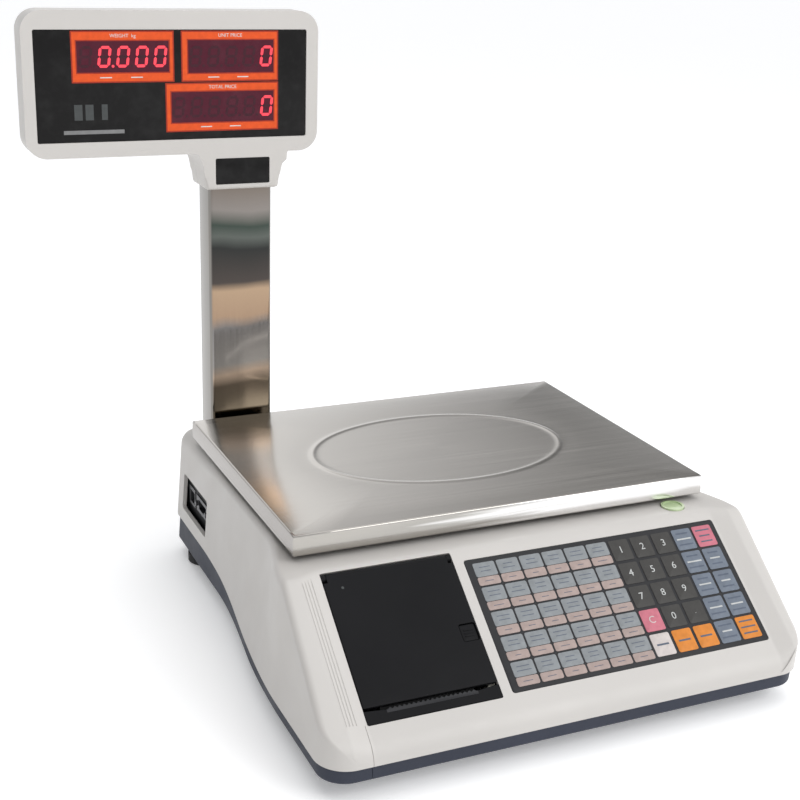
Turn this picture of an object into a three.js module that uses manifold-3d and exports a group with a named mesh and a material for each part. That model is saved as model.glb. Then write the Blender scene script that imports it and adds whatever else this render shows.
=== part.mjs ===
// Retail price scale with a sloped console, a receipt printer and a display head on a column.
// Units are millimetres and +Z is up. Inside this file the body is centred on X = 0, the pan on Y = 0,
// and the floor is Z = 0. The outer group then moves the whole scale so that its frame's origin
// is the middle of its bounding box on the floor.

import * as THREE from "three";
import { mergeVertices } from "three/addons/utils/BufferGeometryUtils.js";
import Module from "manifold-3d";

const wasm = await Module();
wasm.setup();

// ---------------------------------------------------------------- driving dimensions

const GAP = 0.3;

const PAN = { width: 300, depth: 220, top: 118, skirt: 14, sheet: 1 };
const PAN_EMBOSS = { radiusX: 95, radiusY: 65, width: 5, height: 0.5 };

const DECK_Z = 100;
// The seam between housing and tray rises from the console's height to the back's.
const SEAM = { front: 22, back: 32.5, riseStart: -60, riseEnd: 70, rim: 5 };
const TRAY_BOTTOM_Z = 12;
const TRAY_FLOOR = 3;
const TRAY_INSET = 2;
const WALL = 3;
const BODY = { front: -221.5, back: 150, frontCorner: 20, backCorner: 16, backEdge: 12, half: 170 };
// An X far enough out to pass either side of the body.
const PAST_SIDE = 200;
// Half the body's width on each side of X = 0, at the seam (low) and at the deck (high).
const HALF_WIDTH = {
  left: { frontLow: 170.5, backLow: 156.5, frontHigh: 165, backHigh: 151 },
  right: { frontLow: 164.5, backLow: 156.5, frontHigh: 168.5, backHigh: 151 },
};

const SLOPE_ANGLE = THREE.MathUtils.degToRad(36.6);
const SLOPE_FOOT = { y: -207.2, z: 39.9 };
const CHEEK = { rise: 3.5, left: -153, leftFoot: -140, right: 157, rightFoot: 145 };

const FOOT = {
  frontX: 136, frontY: -165, backX: 139, backY: 116, radius: 14, height: 8, nutRadius: 7.5,
  studRadius: 4, studTop: 17.5, bossRadius: 6.5,
};
const SCREW = { frontX: 152, frontY: -190, backX: 141, backY: 130, bossRadius: 5, headRadius: 3.5 };

const CELL = { halfLength: 75, halfWidth: 19, bottom: 40, height: 25, blockLength: 35, topGap: 0.8 };
const SPIDER = { bottom: 102, thickness: 8, armWidth: 18, padX: 112, padY: 78, padRadius: 9 };

const COLUMN = { x0: -132.8, x1: -85.8, y0: 117.3, y1: 144.3, bottom: 18.6, top: 322, wall: 1.2 };

const HEAD = {
  x0: -260, x1: -53.5, z0: 315, z1: 412, corner: 14, front: 111, split: 134, back: 150, wall: 2.5,
  taper: 15,
};
const NECK = { x0: -140, x1: -78, tipX0: -136, tipX1: -83, tipZ: 289, back: 149 };
const WINDOW = { x0: -252.3, x1: -62.2, z0: 325.4, z1: 399.6, thickness: 2 };
const REAR_WINDOW = { x0: -240, x1: -74, z0: 334, z1: 393, thickness: 1.3 };
const NECK_PANEL = { x0: -129.2, x1: -89.8, z0: 293, z1: 311 };
const DIGIT_PITCH = 12.7;
const DIGIT_MODULE = { height: 19, thickness: 8.6 };
const READOUTS = [
  { name: "weight", x: -192.6, z: 381.8, digits: 5 },
  { name: "unit_price", x: -116.8, z: 381.5, digits: 5 },
  { name: "total_price", x: -123.5, z: 347.4, digits: 6 },
];

const DOOR = { x0: -139.1, x1: -52.2, t0: 10.4, low: -2.3, high: 0.3, openingT0: -0.1, openingT1: 99.5 };
const HINGE = { t: 96.4, n: -2.4, barrelRadius: 2.7, pinRadius: 1.2, x0: -136, x1: -55.5 };
const BUTTON = { x0: -63.6, x1: -53.2, t0: 39, t1: 50.2 };
const TEAR = { t0: 0.3, t1: 8.6, toothPitch: 3, toothDepth: 1.4, x0: -124.5, x1: -67.5 };
const KEYPAD = {
  x0: -44.8, x1: 143.4, t0: 1.3, t1: 92, columns: 11, rows: 5, pitchX: 16.5, pitchT: 17.2, middleX: 50,
};
const KEY = { halfWidth: 7.4, halfLength: 7.8, height: 0.4 };

const BAY = { x0: -142.5, x1: -48.8, y0: -204, y1: -120, bottom: 18, wall: 2 };
const ROLL = { y: -150, z: 45, radius: 24, core: 6, x0: -125, x1: -67, spindleRadius: 4 };
const SPINDLE = { x0: -138.9, x1: -52.4, clear: 0.4 };
const GEAR_MODULE = 0.6;
const GEAR_FACE = { x0: -56, x1: -52 };
const PLATEN = { y: -190, z: 40, radius: 5, x0: -126.5, x1: -65.5, shaftRadius: 1.5, teeth: 20 };
const IDLER = { teeth: 24, angle: THREE.MathUtils.degToRad(-25) };
const PINION = { teeth: 12, angle: THREE.MathUtils.degToRad(-30) };

// The port plate's outer face is at `face`; each connector stands proud of it.
const PORTS = { y0: 64, y1: 124, z0: 43, z1: 71, face: -149.6, plate: 2, margin: 3 };
const SERIAL = { y0: 70, y1: 101, z0: 50, z1: 63 };
const NETWORK = { y0: 105, y1: 120, z0: 48.5, z1: 63.5 };
const INLET = { x0: 50, x1: 78, z0: 44, z1: 64 };
const SWITCH = { x0: 101, x1: 121, z0: 46, z1: 62, pivotY: 148, tilt: THREE.MathUtils.degToRad(8) };
const LEVEL = { x: 124, y: -115, radius: 8, top: 101.2 };

// ---------------------------------------------------------------- materials

function paint(color, roughness, metalness) {
  return new THREE.MeshStandardMaterial({ color, roughness, metalness });
}

const MATERIALS = {
  housing: paint(0xdcd8d0, 0.5, 0),
  tray: paint(0x353a46, 0.6, 0),
  steel: paint(0xb9b6b0, 0.35, 1),
  polished: paint(0xd8d6d2, 0.1, 1),
  aluminium: paint(0xa9adb0, 0.45, 1),
  rubber: paint(0x1c1c1e, 0.9, 0),
  black: paint(0x1f2022, 0.5, 0),
  window: paint(0x1a0c10, 0.1, 0),
  led: paint(0xff3040, 0.4, 0),
  film: paint(0x8b939b, 0.5, 0),
  board: paint(0x1f5a3a, 0.6, 0),
  paper: paint(0xf4f2ec, 0.9, 0),
  nylon: paint(0xe8e4d8, 0.6, 0),
  battery: paint(0x2a2c30, 0.7, 0),
  level: paint(0xa8d040, 0.2, 0),
  cable: paint(0x202022, 0.7, 0),
};

// ---------------------------------------------------------------- solids and simple forms

function solidOf(geometry) {
  const bare = geometry.index ? geometry.toNonIndexed() : geometry.clone();
  bare.deleteAttribute("normal");
  bare.deleteAttribute("uv");
  const merged = mergeVertices(bare, 1e-3);
  const vertProperties = merged.attributes.position.array;
  const triVerts = new Uint32Array(merged.index.array);
  return new wasm.Manifold(new wasm.Mesh({ numProp: 3, vertProperties, triVerts }));
}

function geometryOf(solid) {
  const mesh = solid.getMesh();
  const geometry = new THREE.BufferGeometry();
  geometry.setAttribute("position", new THREE.BufferAttribute(mesh.vertProperties, 3));
  geometry.setIndex(new THREE.BufferAttribute(mesh.triVerts, 1));
  geometry.computeVertexNormals();
  return geometry;
}

function join(...solids) {
  return solids.reduce((sum, solid) => sum.add(solid));
}

function cut(solid, ...tools) {
  return tools.reduce((rest, tool) => rest.subtract(tool), solid);
}

function box(x0, x1, y0, y1, z0, z1) {
  const geometry = new THREE.BoxGeometry(x1 - x0, y1 - y0, z1 - z0);
  geometry.translate((x0 + x1) / 2, (y0 + y1) / 2, (z0 + z1) / 2);
  return solidOf(geometry);
}

function rodZ(x, y, radius, z0, z1, sides = 24) {
  const geometry = new THREE.CylinderGeometry(radius, radius, z1 - z0, sides);
  geometry.rotateX(Math.PI / 2);
  geometry.translate(x, y, (z0 + z1) / 2);
  return solidOf(geometry);
}

function rodX(y, z, radius, x0, x1, sides = 24) {
  const geometry = new THREE.CylinderGeometry(radius, radius, x1 - x0, sides);
  geometry.rotateZ(Math.PI / 2);
  geometry.translate((x0 + x1) / 2, y, z);
  return solidOf(geometry);
}

function rodY(x, z, radius, y0, y1, sides = 24) {
  const geometry = new THREE.CylinderGeometry(radius, radius, y1 - y0, sides);
  geometry.translate(x, (y0 + y1) / 2, z);
  return solidOf(geometry);
}

function extrude(shape, depth, curveSegments) {
  return new THREE.ExtrudeGeometry(shape, { depth, bevelEnabled: false, curveSegments });
}

// A shape drawn in X and Y, standing from z0 to z1.
function prismZ(shape, z0, z1, curveSegments = 6) {
  const geometry = extrude(shape, z1 - z0, curveSegments);
  geometry.translate(0, 0, z0);
  return geometry;
}

// A shape drawn in Y and Z, running from x0 to x1.
const YZ_TO_WORLD = new THREE.Matrix4().makeBasis(
  new THREE.Vector3(0, 1, 0),
  new THREE.Vector3(0, 0, 1),
  new THREE.Vector3(1, 0, 0),
);

function prismX(shape, x0, x1, curveSegments = 6) {
  const geometry = extrude(shape, x1 - x0, curveSegments);
  geometry.translate(0, 0, x0);
  geometry.applyMatrix4(YZ_TO_WORLD);
  return solidOf(geometry);
}

// A shape drawn in X and Z. Its extrusion runs towards -Y, so y1 is where it starts.
const XZ_TO_WORLD = new THREE.Matrix4().makeBasis(
  new THREE.Vector3(1, 0, 0),
  new THREE.Vector3(0, 0, 1),
  new THREE.Vector3(0, -1, 0),
);

function polygon(points) {
  return new THREE.Shape(points.map(([u, v]) => new THREE.Vector2(u, v)));
}

function roundedRectangle(u0, u1, v0, v1, radius) {
  const shape = new THREE.Shape();
  shape.moveTo(u0 + radius, v0);
  shape.lineTo(u1 - radius, v0);
  shape.absarc(u1 - radius, v0 + radius, radius, -Math.PI / 2, 0);
  shape.lineTo(u1, v1 - radius);
  shape.absarc(u1 - radius, v1 - radius, radius, 0, Math.PI / 2);
  shape.lineTo(u0 + radius, v1);
  shape.absarc(u0 + radius, v1 - radius, radius, Math.PI / 2, Math.PI);
  shape.lineTo(u0, v0 + radius);
  shape.absarc(u0 + radius, v0 + radius, radius, Math.PI, Math.PI * 1.5);
  return shape;
}

// ---------------------------------------------------------------- the console's sloped frame
// X stays X, t runs up the slope from the console's lower edge, and n stands out of the slope.

const SLOPE = new THREE.Matrix4()
  .makeTranslation(0, SLOPE_FOOT.y, SLOPE_FOOT.z)
  .multiply(new THREE.Matrix4().makeRotationX(SLOPE_ANGLE));

function slopeSolid(geometry) {
  return solidOf(geometry.applyMatrix4(SLOPE));
}

function slopeBox(x0, x1, t0, t1, n0, n1) {
  const geometry = new THREE.BoxGeometry(x1 - x0, t1 - t0, n1 - n0);
  geometry.translate((x0 + x1) / 2, (t0 + t1) / 2, (n0 + n1) / 2);
  return slopeSolid(geometry);
}

function slopeRod(t, n, radius, x0, x1, sides = 24) {
  const geometry = new THREE.CylinderGeometry(radius, radius, x1 - x0, sides);
  geometry.rotateZ(Math.PI / 2);
  geometry.translate((x0 + x1) / 2, t, n);
  return slopeSolid(geometry);
}

// ---------------------------------------------------------------- the scene

const scale = new THREE.Group();
scale.name = "retail_price_scale";

function place(name, solid, material) {
  const mesh = new THREE.Mesh(geometryOf(solid), MATERIALS[material]);
  mesh.name = name;
  scale.add(mesh);
}

// ---------------------------------------------------------------- body outline

function smoothstep(edge0, edge1, value) {
  return THREE.MathUtils.smoothstep(value, edge0, edge1);
}

// Half the body's width at a place y and a height: narrow at the back, flared at the console.
function halfWidth(side, y, z) {
  const { frontLow, backLow, frontHigh, backHigh } = HALF_WIDTH[side];
  const low = THREE.MathUtils.lerp(frontLow, backLow, smoothstep(-140, 35, y));
  const high = THREE.MathUtils.lerp(frontHigh, backHigh, smoothstep(-130, -60, y));
  return THREE.MathUtils.lerp(low, high, (z - SEAM.front) / (DECK_Z - SEAM.front));
}

function seamZ(y) {
  const rise = smoothstep(SEAM.riseStart, SEAM.riseEnd, y);
  return THREE.MathUtils.lerp(SEAM.front, SEAM.back, rise);
}

// The outline in plan before the flare: a rounded rectangle with stations along its sides.
function bodyOutline(inset) {
  const half = BODY.half - inset;
  const front = BODY.front + inset;
  const back = BODY.back - inset;
  const frontRadius = BODY.frontCorner - inset;
  const backRadius = BODY.backCorner - inset;
  const cornerSteps = 4;
  const sideSteps = 9;
  const right = [];
  for (let i = 0; i <= cornerSteps; i++) {
    const angle = -Math.PI / 2 + ((Math.PI / 2) * i) / cornerSteps;
    const x = half - frontRadius + frontRadius * Math.cos(angle);
    right.push([x, front + frontRadius + frontRadius * Math.sin(angle)]);
  }
  for (let i = 1; i < sideSteps; i++) {
    const y = THREE.MathUtils.lerp(front + frontRadius, back - backRadius, i / sideSteps);
    right.push([half, y]);
  }
  for (let i = 0; i <= cornerSteps; i++) {
    const angle = ((Math.PI / 2) * i) / cornerSteps;
    const x = half - backRadius + backRadius * Math.cos(angle);
    right.push([x, back - backRadius + backRadius * Math.sin(angle)]);
  }
  const left = right.map(([x, y]) => [-x, y]).reverse();
  return polygon([...right, ...left]);
}

function bodyPrism(inset, z0, z1) {
  const geometry = prismZ(bodyOutline(inset), z0, z1);
  const position = geometry.attributes.position;
  for (let i = 0; i < position.count; i++) {
    const side = position.getX(i) < 0 ? "left" : "right";
    const reach = halfWidth(side, position.getY(i), position.getZ(i)) - inset;
    position.setX(i, (position.getX(i) * reach) / (BODY.half - inset));
  }
  return solidOf(geometry);
}

// The body's side view, in Y and Z. `rise` lifts the sloped console for its two cheeks.
function sideProfile(inset, rise, bottom) {
  const lift = (rise - inset) / Math.cos(SLOPE_ANGLE);
  const slopeZ = (y) => SLOPE_FOOT.z + lift + (y - SLOPE_FOOT.y) * Math.tan(SLOPE_ANGLE);
  const top = DECK_Z - inset;
  const topY = SLOPE_FOOT.y + (top - SLOPE_FOOT.z - lift) / Math.tan(SLOPE_ANGLE);
  const front = BODY.front + inset;
  const back = BODY.back - inset;
  const shape = new THREE.Shape();
  shape.moveTo(back, bottom);
  shape.lineTo(front, bottom);
  shape.lineTo(front + 0.3, 25);
  shape.quadraticCurveTo(front + 1.2, slopeZ(front + 1.2), front + 7, slopeZ(front + 7));
  shape.lineTo(topY - 2, slopeZ(topY - 2));
  shape.quadraticCurveTo(topY, top, topY + 2.5, top);
  shape.lineTo(back - BODY.backEdge, top);
  shape.quadraticCurveTo(back, top, back, top - BODY.backEdge);
  return shape;
}

// Everything under the seam, lifted by `lift`, across the whole body.
function belowSeam(lift) {
  const steps = 6;
  const points = [[BODY.back + 1, 0], [BODY.back + 1, seamZ(BODY.back) + lift]];
  for (let i = 0; i <= steps; i++) {
    const y = THREE.MathUtils.lerp(SEAM.riseEnd, SEAM.riseStart, i / steps);
    points.push([y, seamZ(y) + lift]);
  }
  points.push([BODY.front - 1, SEAM.front + lift], [BODY.front - 1, 0]);
  return prismX(polygon(points), -PAST_SIDE, PAST_SIDE);
}

// ---------------------------------------------------------------- housing and tray

function cheekZone(points) {
  const geometry = extrude(polygon(points), 150, 1);
  // The section is drawn in X and n and is drawn out along t.
  geometry.applyMatrix4(XZ_TO_WORLD);
  geometry.translate(0, 125, 0);
  return slopeSolid(geometry);
}

function bodyVolume() {
  const low = prismX(sideProfile(0, 0, SEAM.front), -PAST_SIDE, PAST_SIDE);
  const raised = prismX(sideProfile(0, CHEEK.rise, SEAM.front), -PAST_SIDE, PAST_SIDE);
  const { leftFoot, left, right, rightFoot, rise } = CHEEK;
  const leftCheek = cheekZone([
    [-PAST_SIDE, -90], [leftFoot, -90], [leftFoot, 0], [left, rise + 0.5], [-PAST_SIDE, 9],
  ]);
  const rightCheek = cheekZone([
    [PAST_SIDE, -90], [PAST_SIDE, 9], [right, rise + 0.5], [rightFoot, 0], [rightFoot, -90],
  ]);
  const cheeks = raised.intersect(leftCheek.add(rightCheek));
  const whole = bodyPrism(0, SEAM.front, DECK_Z + 5).intersect(low.add(cheeks));
  return whole.subtract(belowSeam(GAP));
}

function fourCorners(frontX, frontY, backX, backY) {
  return [
    { name: "front_left", x: -frontX, y: frontY },
    { name: "front_right", x: frontX, y: frontY },
    { name: "back_left", x: -backX, y: backY },
    { name: "back_right", x: backX, y: backY },
  ];
}

const SCREW_PLACES = fourCorners(SCREW.frontX, SCREW.frontY, SCREW.backX, SCREW.backY);
const FOOT_PLACES = fourCorners(FOOT.frontX, FOOT.frontY, FOOT.backX, FOOT.backY);
const RIM_INSET = WALL + 2;

function rimTop(y) {
  return seamZ(y) + SEAM.rim;
}

function makeHousing() {
  const outer = bodyVolume();
  const inside = bodyPrism(WALL, SEAM.front - 1, DECK_Z + 5).intersect(
    prismX(sideProfile(WALL, 0, SEAM.front - 2), -PAST_SIDE, PAST_SIDE),
  );
  let shell = outer.subtract(inside);
  for (const { x, y } of SCREW_PLACES) {
    const post = rodZ(x, y, SCREW.bossRadius, rimTop(y) + GAP, DECK_Z, 16).intersect(outer);
    shell = shell.add(post).subtract(rodZ(x, y, 1.9, SEAM.front, rimTop(y) + 15, 12));
  }
  return cut(
    shell,
    slopeBox(DOOR.x0 - 0.4, DOOR.x1 + 0.4, DOOR.openingT0, DOOR.openingT1, -8, 8),
    slopeBox(KEYPAD.x0 - GAP, KEYPAD.x1 + GAP, KEYPAD.t0 - GAP, KEYPAD.t1 + GAP, -1.2, 4),
    slopeBox(KEYPAD.x0 + 5, KEYPAD.x1 - 5, KEYPAD.t0 + 4, KEYPAD.t1 - 4, -8, 0),
    box(36, 79, -23, 23, DECK_Z - 6, DECK_Z + 2),
    box(COLUMN.x0 - 0.4, COLUMN.x1 + 0.4, COLUMN.y0 - 0.4, COLUMN.y1 + 0.4, DECK_Z - 8, DECK_Z + 2),
    rodZ(LEVEL.x, LEVEL.y, LEVEL.radius + GAP, DECK_Z - 6, DECK_Z + 2),
    box(-165, -140, PORTS.y0, PORTS.y1, PORTS.z0, PORTS.z1),
    box(INLET.x0, INLET.x1, 140, 160, INLET.z0, INLET.z1),
    box(SWITCH.x0, SWITCH.x1, 140, 160, SWITCH.z0, SWITCH.z1),
  );
}

function makeTray() {
  const floorTop = TRAY_BOTTOM_Z + TRAY_FLOOR;
  const highest = rimTop(BODY.back) + 1;
  const wall = bodyPrism(TRAY_INSET, TRAY_BOTTOM_Z, highest).intersect(belowSeam(0));
  const rim = bodyPrism(RIM_INSET, SEAM.front - 1, highest).intersect(belowSeam(SEAM.rim));
  let tray = wall.add(rim).subtract(bodyPrism(RIM_INSET + WALL, floorTop, highest));
  for (const { x, y } of FOOT_PLACES) {
    tray = tray.add(rodZ(x, y, FOOT.bossRadius, TRAY_BOTTOM_Z, FOOT.studTop));
    tray = tray.subtract(rodZ(x, y, FOOT.studRadius + GAP, TRAY_BOTTOM_Z - 1, FOOT.studTop + 1));
  }
  for (const { x, y } of SCREW_PLACES) {
    tray = tray.add(rodZ(x, y, SCREW.bossRadius, TRAY_BOTTOM_Z, rimTop(y), 16));
    tray = cut(
      tray,
      rodZ(x, y, 2, TRAY_BOTTOM_Z - 1, rimTop(y) + 1, 12),
      rodZ(x, y, SCREW.headRadius + 0.5, TRAY_BOTTOM_Z - 1, floorTop, 16),
    );
  }
  const { x0, x1, y0, y1 } = COLUMN;
  return tray.subtract(box(x0 - 1, x1 + 1, y0, y1 + 0.5, floorTop, highest));
}

place("top_housing", makeHousing(), "housing");
place("base_tray", makeTray(), "tray");

for (const { name, x, y } of FOOT_PLACES) {
  const disc = rodZ(x, y, FOOT.radius, 1, FOOT.height, 18);
  const sole = rodZ(x, y, FOOT.radius - 1.5, 0, 1.5, 18);
  const nut = rodZ(x, y, FOOT.nutRadius, FOOT.height - 1, TRAY_BOTTOM_Z - GAP, 6);
  const stud = rodZ(x, y, FOOT.studRadius, 2, FOOT.studTop, 16);
  place(`levelling_foot_${name}`, join(disc, sole, nut, stud), "rubber");
}

for (const { name, x, y } of SCREW_PLACES) {
  const head = rodZ(x, y, SCREW.headRadius, TRAY_BOTTOM_Z + 0.4, TRAY_BOTTOM_Z + 2.6, 16);
  const shank = rodZ(x, y, 1.6, TRAY_BOTTOM_Z + 2, rimTop(y) + 13, 10);
  place(`housing_screw_${name}`, join(head, shank), "steel");
}

// ---------------------------------------------------------------- weighing platform

function makePan() {
  const { width, depth, top, skirt, sheet } = PAN;
  const outer = box(-width / 2, width / 2, -depth / 2, depth / 2, top - skirt, top);
  const innerX = width / 2 - sheet;
  const innerY = depth / 2 - sheet;
  const inner = box(-innerX, innerX, -innerY, innerY, top - skirt - 1, top - sheet);
  const ring = new THREE.Shape();
  ring.absellipse(0, 0, PAN_EMBOSS.radiusX, PAN_EMBOSS.radiusY, 0, Math.PI * 2);
  const hole = new THREE.Path();
  const holeX = PAN_EMBOSS.radiusX - PAN_EMBOSS.width;
  const holeY = PAN_EMBOSS.radiusY - PAN_EMBOSS.width;
  hole.absellipse(0, 0, holeX, holeY, 0, Math.PI * 2);
  ring.holes.push(hole);
  const emboss = solidOf(prismZ(ring, top - 0.5, top + PAN_EMBOSS.height, 22));
  return outer.subtract(inner).add(emboss);
}

place("weighing_pan", makePan(), "steel");

const PAD_PLACES = fourCorners(SPIDER.padX, -SPIDER.padY, SPIDER.padX, SPIDER.padY);
const CELL_TOP = CELL.bottom + CELL.height;
const BLOCK_START = CELL.halfLength - CELL.blockLength;

function makeLoadCell() {
  const { halfLength, halfWidth: halfDepth, bottom } = CELL;
  const middle = (bottom + CELL_TOP) / 2;
  const bar = box(-halfLength, halfLength, -halfDepth, halfDepth, bottom, CELL_TOP);
  const lobes = [-15, 15].map((x) => rodY(x, middle, 9.5, -30, 30));
  return cut(bar, ...lobes, box(-15, 15, -30, 30, middle - 1.5, middle + 1.5));
}

function makeSpider() {
  const top = SPIDER.bottom + SPIDER.thickness;
  let spider = box(-22, 80, -24, 24, SPIDER.bottom, top);
  for (const side of [-1, 1]) {
    const reach = Math.hypot(SPIDER.padX, SPIDER.padY) * 2;
    const arm = new THREE.BoxGeometry(reach, SPIDER.armWidth, SPIDER.thickness);
    arm.rotateZ(side * Math.atan2(SPIDER.padY, SPIDER.padX));
    arm.translate(0, 0, SPIDER.bottom + SPIDER.thickness / 2);
    spider = spider.add(solidOf(arm));
  }
  for (const { x, y } of PAD_PLACES) {
    spider = spider.add(rodZ(x, y, SPIDER.padRadius + 1.5, SPIDER.bottom, top));
  }
  return spider;
}


place("load_cell", makeLoadCell(), "aluminium");
place(
  "cell_base_block",
  box(
    -CELL.halfLength, -BLOCK_START, -CELL.halfWidth, CELL.halfWidth,
    TRAY_BOTTOM_Z + TRAY_FLOOR + GAP, CELL.bottom - GAP,
  ),
  "aluminium",
);
place(
  "cell_top_block",
  box(
    BLOCK_START, CELL.halfLength, -CELL.halfWidth, CELL.halfWidth,
    CELL_TOP + CELL.topGap, SPIDER.bottom - GAP,
  ),
  "aluminium",
);
place("pan_spider", makeSpider(), "aluminium");

for (const { name, x, y } of PAD_PLACES) {
  const bottom = SPIDER.bottom + SPIDER.thickness + GAP;
  const top = PAN.top - PAN.sheet - GAP;
  const base = rodZ(x, y, SPIDER.padRadius, bottom, top - 2);
  const tip = rodZ(x, y, SPIDER.padRadius - 2, top - 3, top);
  place(`pan_pad_${name}`, base.add(tip), "rubber");
}

place(
  "bubble_level",
  rodZ(LEVEL.x, LEVEL.y, LEVEL.radius, DECK_Z - 8, LEVEL.top).subtract(
    rodZ(LEVEL.x, LEVEL.y, LEVEL.radius - 1.5, LEVEL.top - 0.8, LEVEL.top + 1),
  ),
  "level",
);

// ---------------------------------------------------------------- column

function makeColumn() {
  const { x0, x1, y0, y1, bottom, top, wall } = COLUMN;
  const tube = box(x0, x1, y0, y1, bottom, top);
  const bore = box(x0 + wall, x1 - wall, y0 + wall, y1 - wall, bottom - 1, top + 1);
  const cableHole = box(-117, -101, y0 - 1, y0 + 4, 24, 42);
  return cut(tube, bore, cableHole);
}

function makeColumnBracket() {
  const { x0, x1, y0, y1, bottom, wall } = COLUMN;
  const clear = wall + 0.4;
  const floor = TRAY_BOTTOM_Z + TRAY_FLOOR + GAP;
  const plate = box(x0 + 1, x1 - 1, y0 + 1, y1 - 1, floor, bottom - GAP);
  const tongue = box(-122, x1 - 1, 92, y0 + 2, floor, bottom - GAP);
  const leftEar = box(x0 + clear, x0 + clear + 2.5, y0 + clear, y1 - clear, floor, 70);
  const rightEar = box(x1 - clear - 2.5, x1 - clear, y0 + clear, y1 - clear, floor, 70);
  return join(plate, tongue, leftEar, rightEar);
}

place("column_tube", makeColumn(), "polished");
place("column_bracket", makeColumnBracket(), "steel");

// ---------------------------------------------------------------- display head

const HEAD_MIDDLE_X = (HEAD.x0 + HEAD.x1) / 2;

function bevelled(shape, start, end, thickness, size, segments) {
  // The shape is drawn in X and Z; its two faces keep their outline pulled in by `size`.
  const geometry = new THREE.ExtrudeGeometry(shape, {
    depth: end - start - 2 * thickness,
    bevelEnabled: true,
    bevelThickness: thickness,
    bevelSize: size,
    bevelOffset: -size,
    bevelSegments: segments,
    curveSegments: 5,
  });
  geometry.translate(0, 0, thickness);
  geometry.applyMatrix4(XZ_TO_WORLD);
  geometry.translate(0, end, 0);
  return solidOf(geometry);
}

function neckShape() {
  const shape = new THREE.Shape();
  shape.moveTo(NECK.tipX0, NECK.tipZ);
  shape.lineTo(NECK.tipX1, NECK.tipZ);
  shape.quadraticCurveTo(NECK.tipX1 + 1, HEAD.z0 - 8, NECK.x1, HEAD.z0);
  shape.lineTo(NECK.x1, HEAD.z0 + 12);
  shape.lineTo(NECK.x0, HEAD.z0 + 12);
  shape.lineTo(NECK.x0, HEAD.z0);
  shape.quadraticCurveTo(NECK.tipX0 - 1, HEAD.z0 - 8, NECK.tipX0, NECK.tipZ);
  return shape;
}

const COLUMN_CHANNEL = box(
  COLUMN.x0 - 0.5, COLUMN.x1 + 0.5, COLUMN.y0 - 0.5, COLUMN.y1 + 0.5, NECK.tipZ - 5, COLUMN.top + 0.5,
);

function headShape(inset) {
  const { x0, x1, z0, z1, corner } = HEAD;
  return roundedRectangle(x0 + inset, x1 - inset, z0 + inset, z1 - inset, corner - inset);
}

function makeFrontBezel() {
  const face = bevelled(headShape(0), HEAD.front, HEAD.front + 40, 4, 4, 3);
  const neck = bevelled(neckShape(), HEAD.front, HEAD.front + 40, 2, 2, 2);
  const frontHalf = box(-300, 0, HEAD.front - 1, HEAD.split, 200, 450);
  const hollowFront = HEAD.front + WINDOW.thickness + 1;
  const hollow = bevelled(headShape(HEAD.wall), hollowFront, HEAD.front + 60, 2, 2, 1);
  return cut(
    join(face, neck).intersect(frontHalf),
    hollow,
    COLUMN_CHANNEL,
    box(WINDOW.x0, WINDOW.x1, HEAD.front - 1, HEAD.front + 8, WINDOW.z0, WINDOW.z1),
    box(
      NECK_PANEL.x0 - GAP, NECK_PANEL.x1 + GAP, HEAD.front - 1, HEAD.front + 1.6,
      NECK_PANEL.z0 - GAP, NECK_PANEL.z1 + GAP,
    ),
  );
}

// The rear half of the head, narrowing in a shallow curve from the split to its back face.
function taperedHead(inset, back) {
  const start = HEAD.split - 4;
  const geometry = new THREE.ExtrudeGeometry(headShape(inset), {
    depth: back - start, steps: 4, bevelEnabled: false, curveSegments: 5,
  });
  geometry.applyMatrix4(XZ_TO_WORLD);
  geometry.translate(0, back, 0);
  const position = geometry.attributes.position;
  const middleZ = (HEAD.z0 + HEAD.z1) / 2;
  for (let i = 0; i < position.count; i++) {
    const depth = Math.max(0, (position.getY(i) - HEAD.split) / (back - HEAD.split));
    const pull = HEAD.taper * depth ** 1.2;
    const x = position.getX(i) - HEAD_MIDDLE_X;
    const z = position.getZ(i) - middleZ;
    position.setX(i, HEAD_MIDDLE_X + x * (1 - pull / (HEAD.x1 - HEAD_MIDDLE_X)));
    position.setZ(i, middleZ + z * (1 - pull / (HEAD.z1 - middleZ)));
  }
  return solidOf(geometry);
}

function makeRearCover() {
  const neck = bevelled(neckShape(), HEAD.split - 20, NECK.back, 3, 3, 2);
  const rearHalf = box(-300, 0, HEAD.split + GAP, HEAD.back + 1, 200, 450);
  return cut(
    join(taperedHead(0, HEAD.back), neck).intersect(rearHalf),
    taperedHead(HEAD.wall, HEAD.back - HEAD.wall),
    COLUMN_CHANNEL,
    box(REAR_WINDOW.x0, REAR_WINDOW.x1, HEAD.back - 5, HEAD.back + 1, REAR_WINDOW.z0, REAR_WINDOW.z1),
  );
}

place("display_front_bezel", makeFrontBezel(), "housing");
place("display_rear_cover", makeRearCover(), "housing");
place(
  "front_window",
  box(
    WINDOW.x0 + GAP, WINDOW.x1 - GAP, HEAD.front + 0.6, HEAD.front + 0.6 + WINDOW.thickness,
    WINDOW.z0 + GAP, WINDOW.z1 - GAP,
  ),
  "window",
);
place(
  "rear_window",
  box(
    REAR_WINDOW.x0 + GAP, REAR_WINDOW.x1 - GAP, HEAD.back - 0.4 - REAR_WINDOW.thickness, HEAD.back - 0.4,
    REAR_WINDOW.z0 + GAP, REAR_WINDOW.z1 - GAP,
  ),
  "window",
);
place(
  "neck_panel",
  box(NECK_PANEL.x0, NECK_PANEL.x1, HEAD.front + 0.2, HEAD.front + 1.3, NECK_PANEL.z0, NECK_PANEL.z1),
  "window",
);

const FRONT_LED_BACK = HEAD.front + 3 + DIGIT_MODULE.thickness;
const REAR_LED_BACK = HEAD.back - 3.5 - DIGIT_MODULE.thickness;
const BOARD = 1.6;

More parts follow.
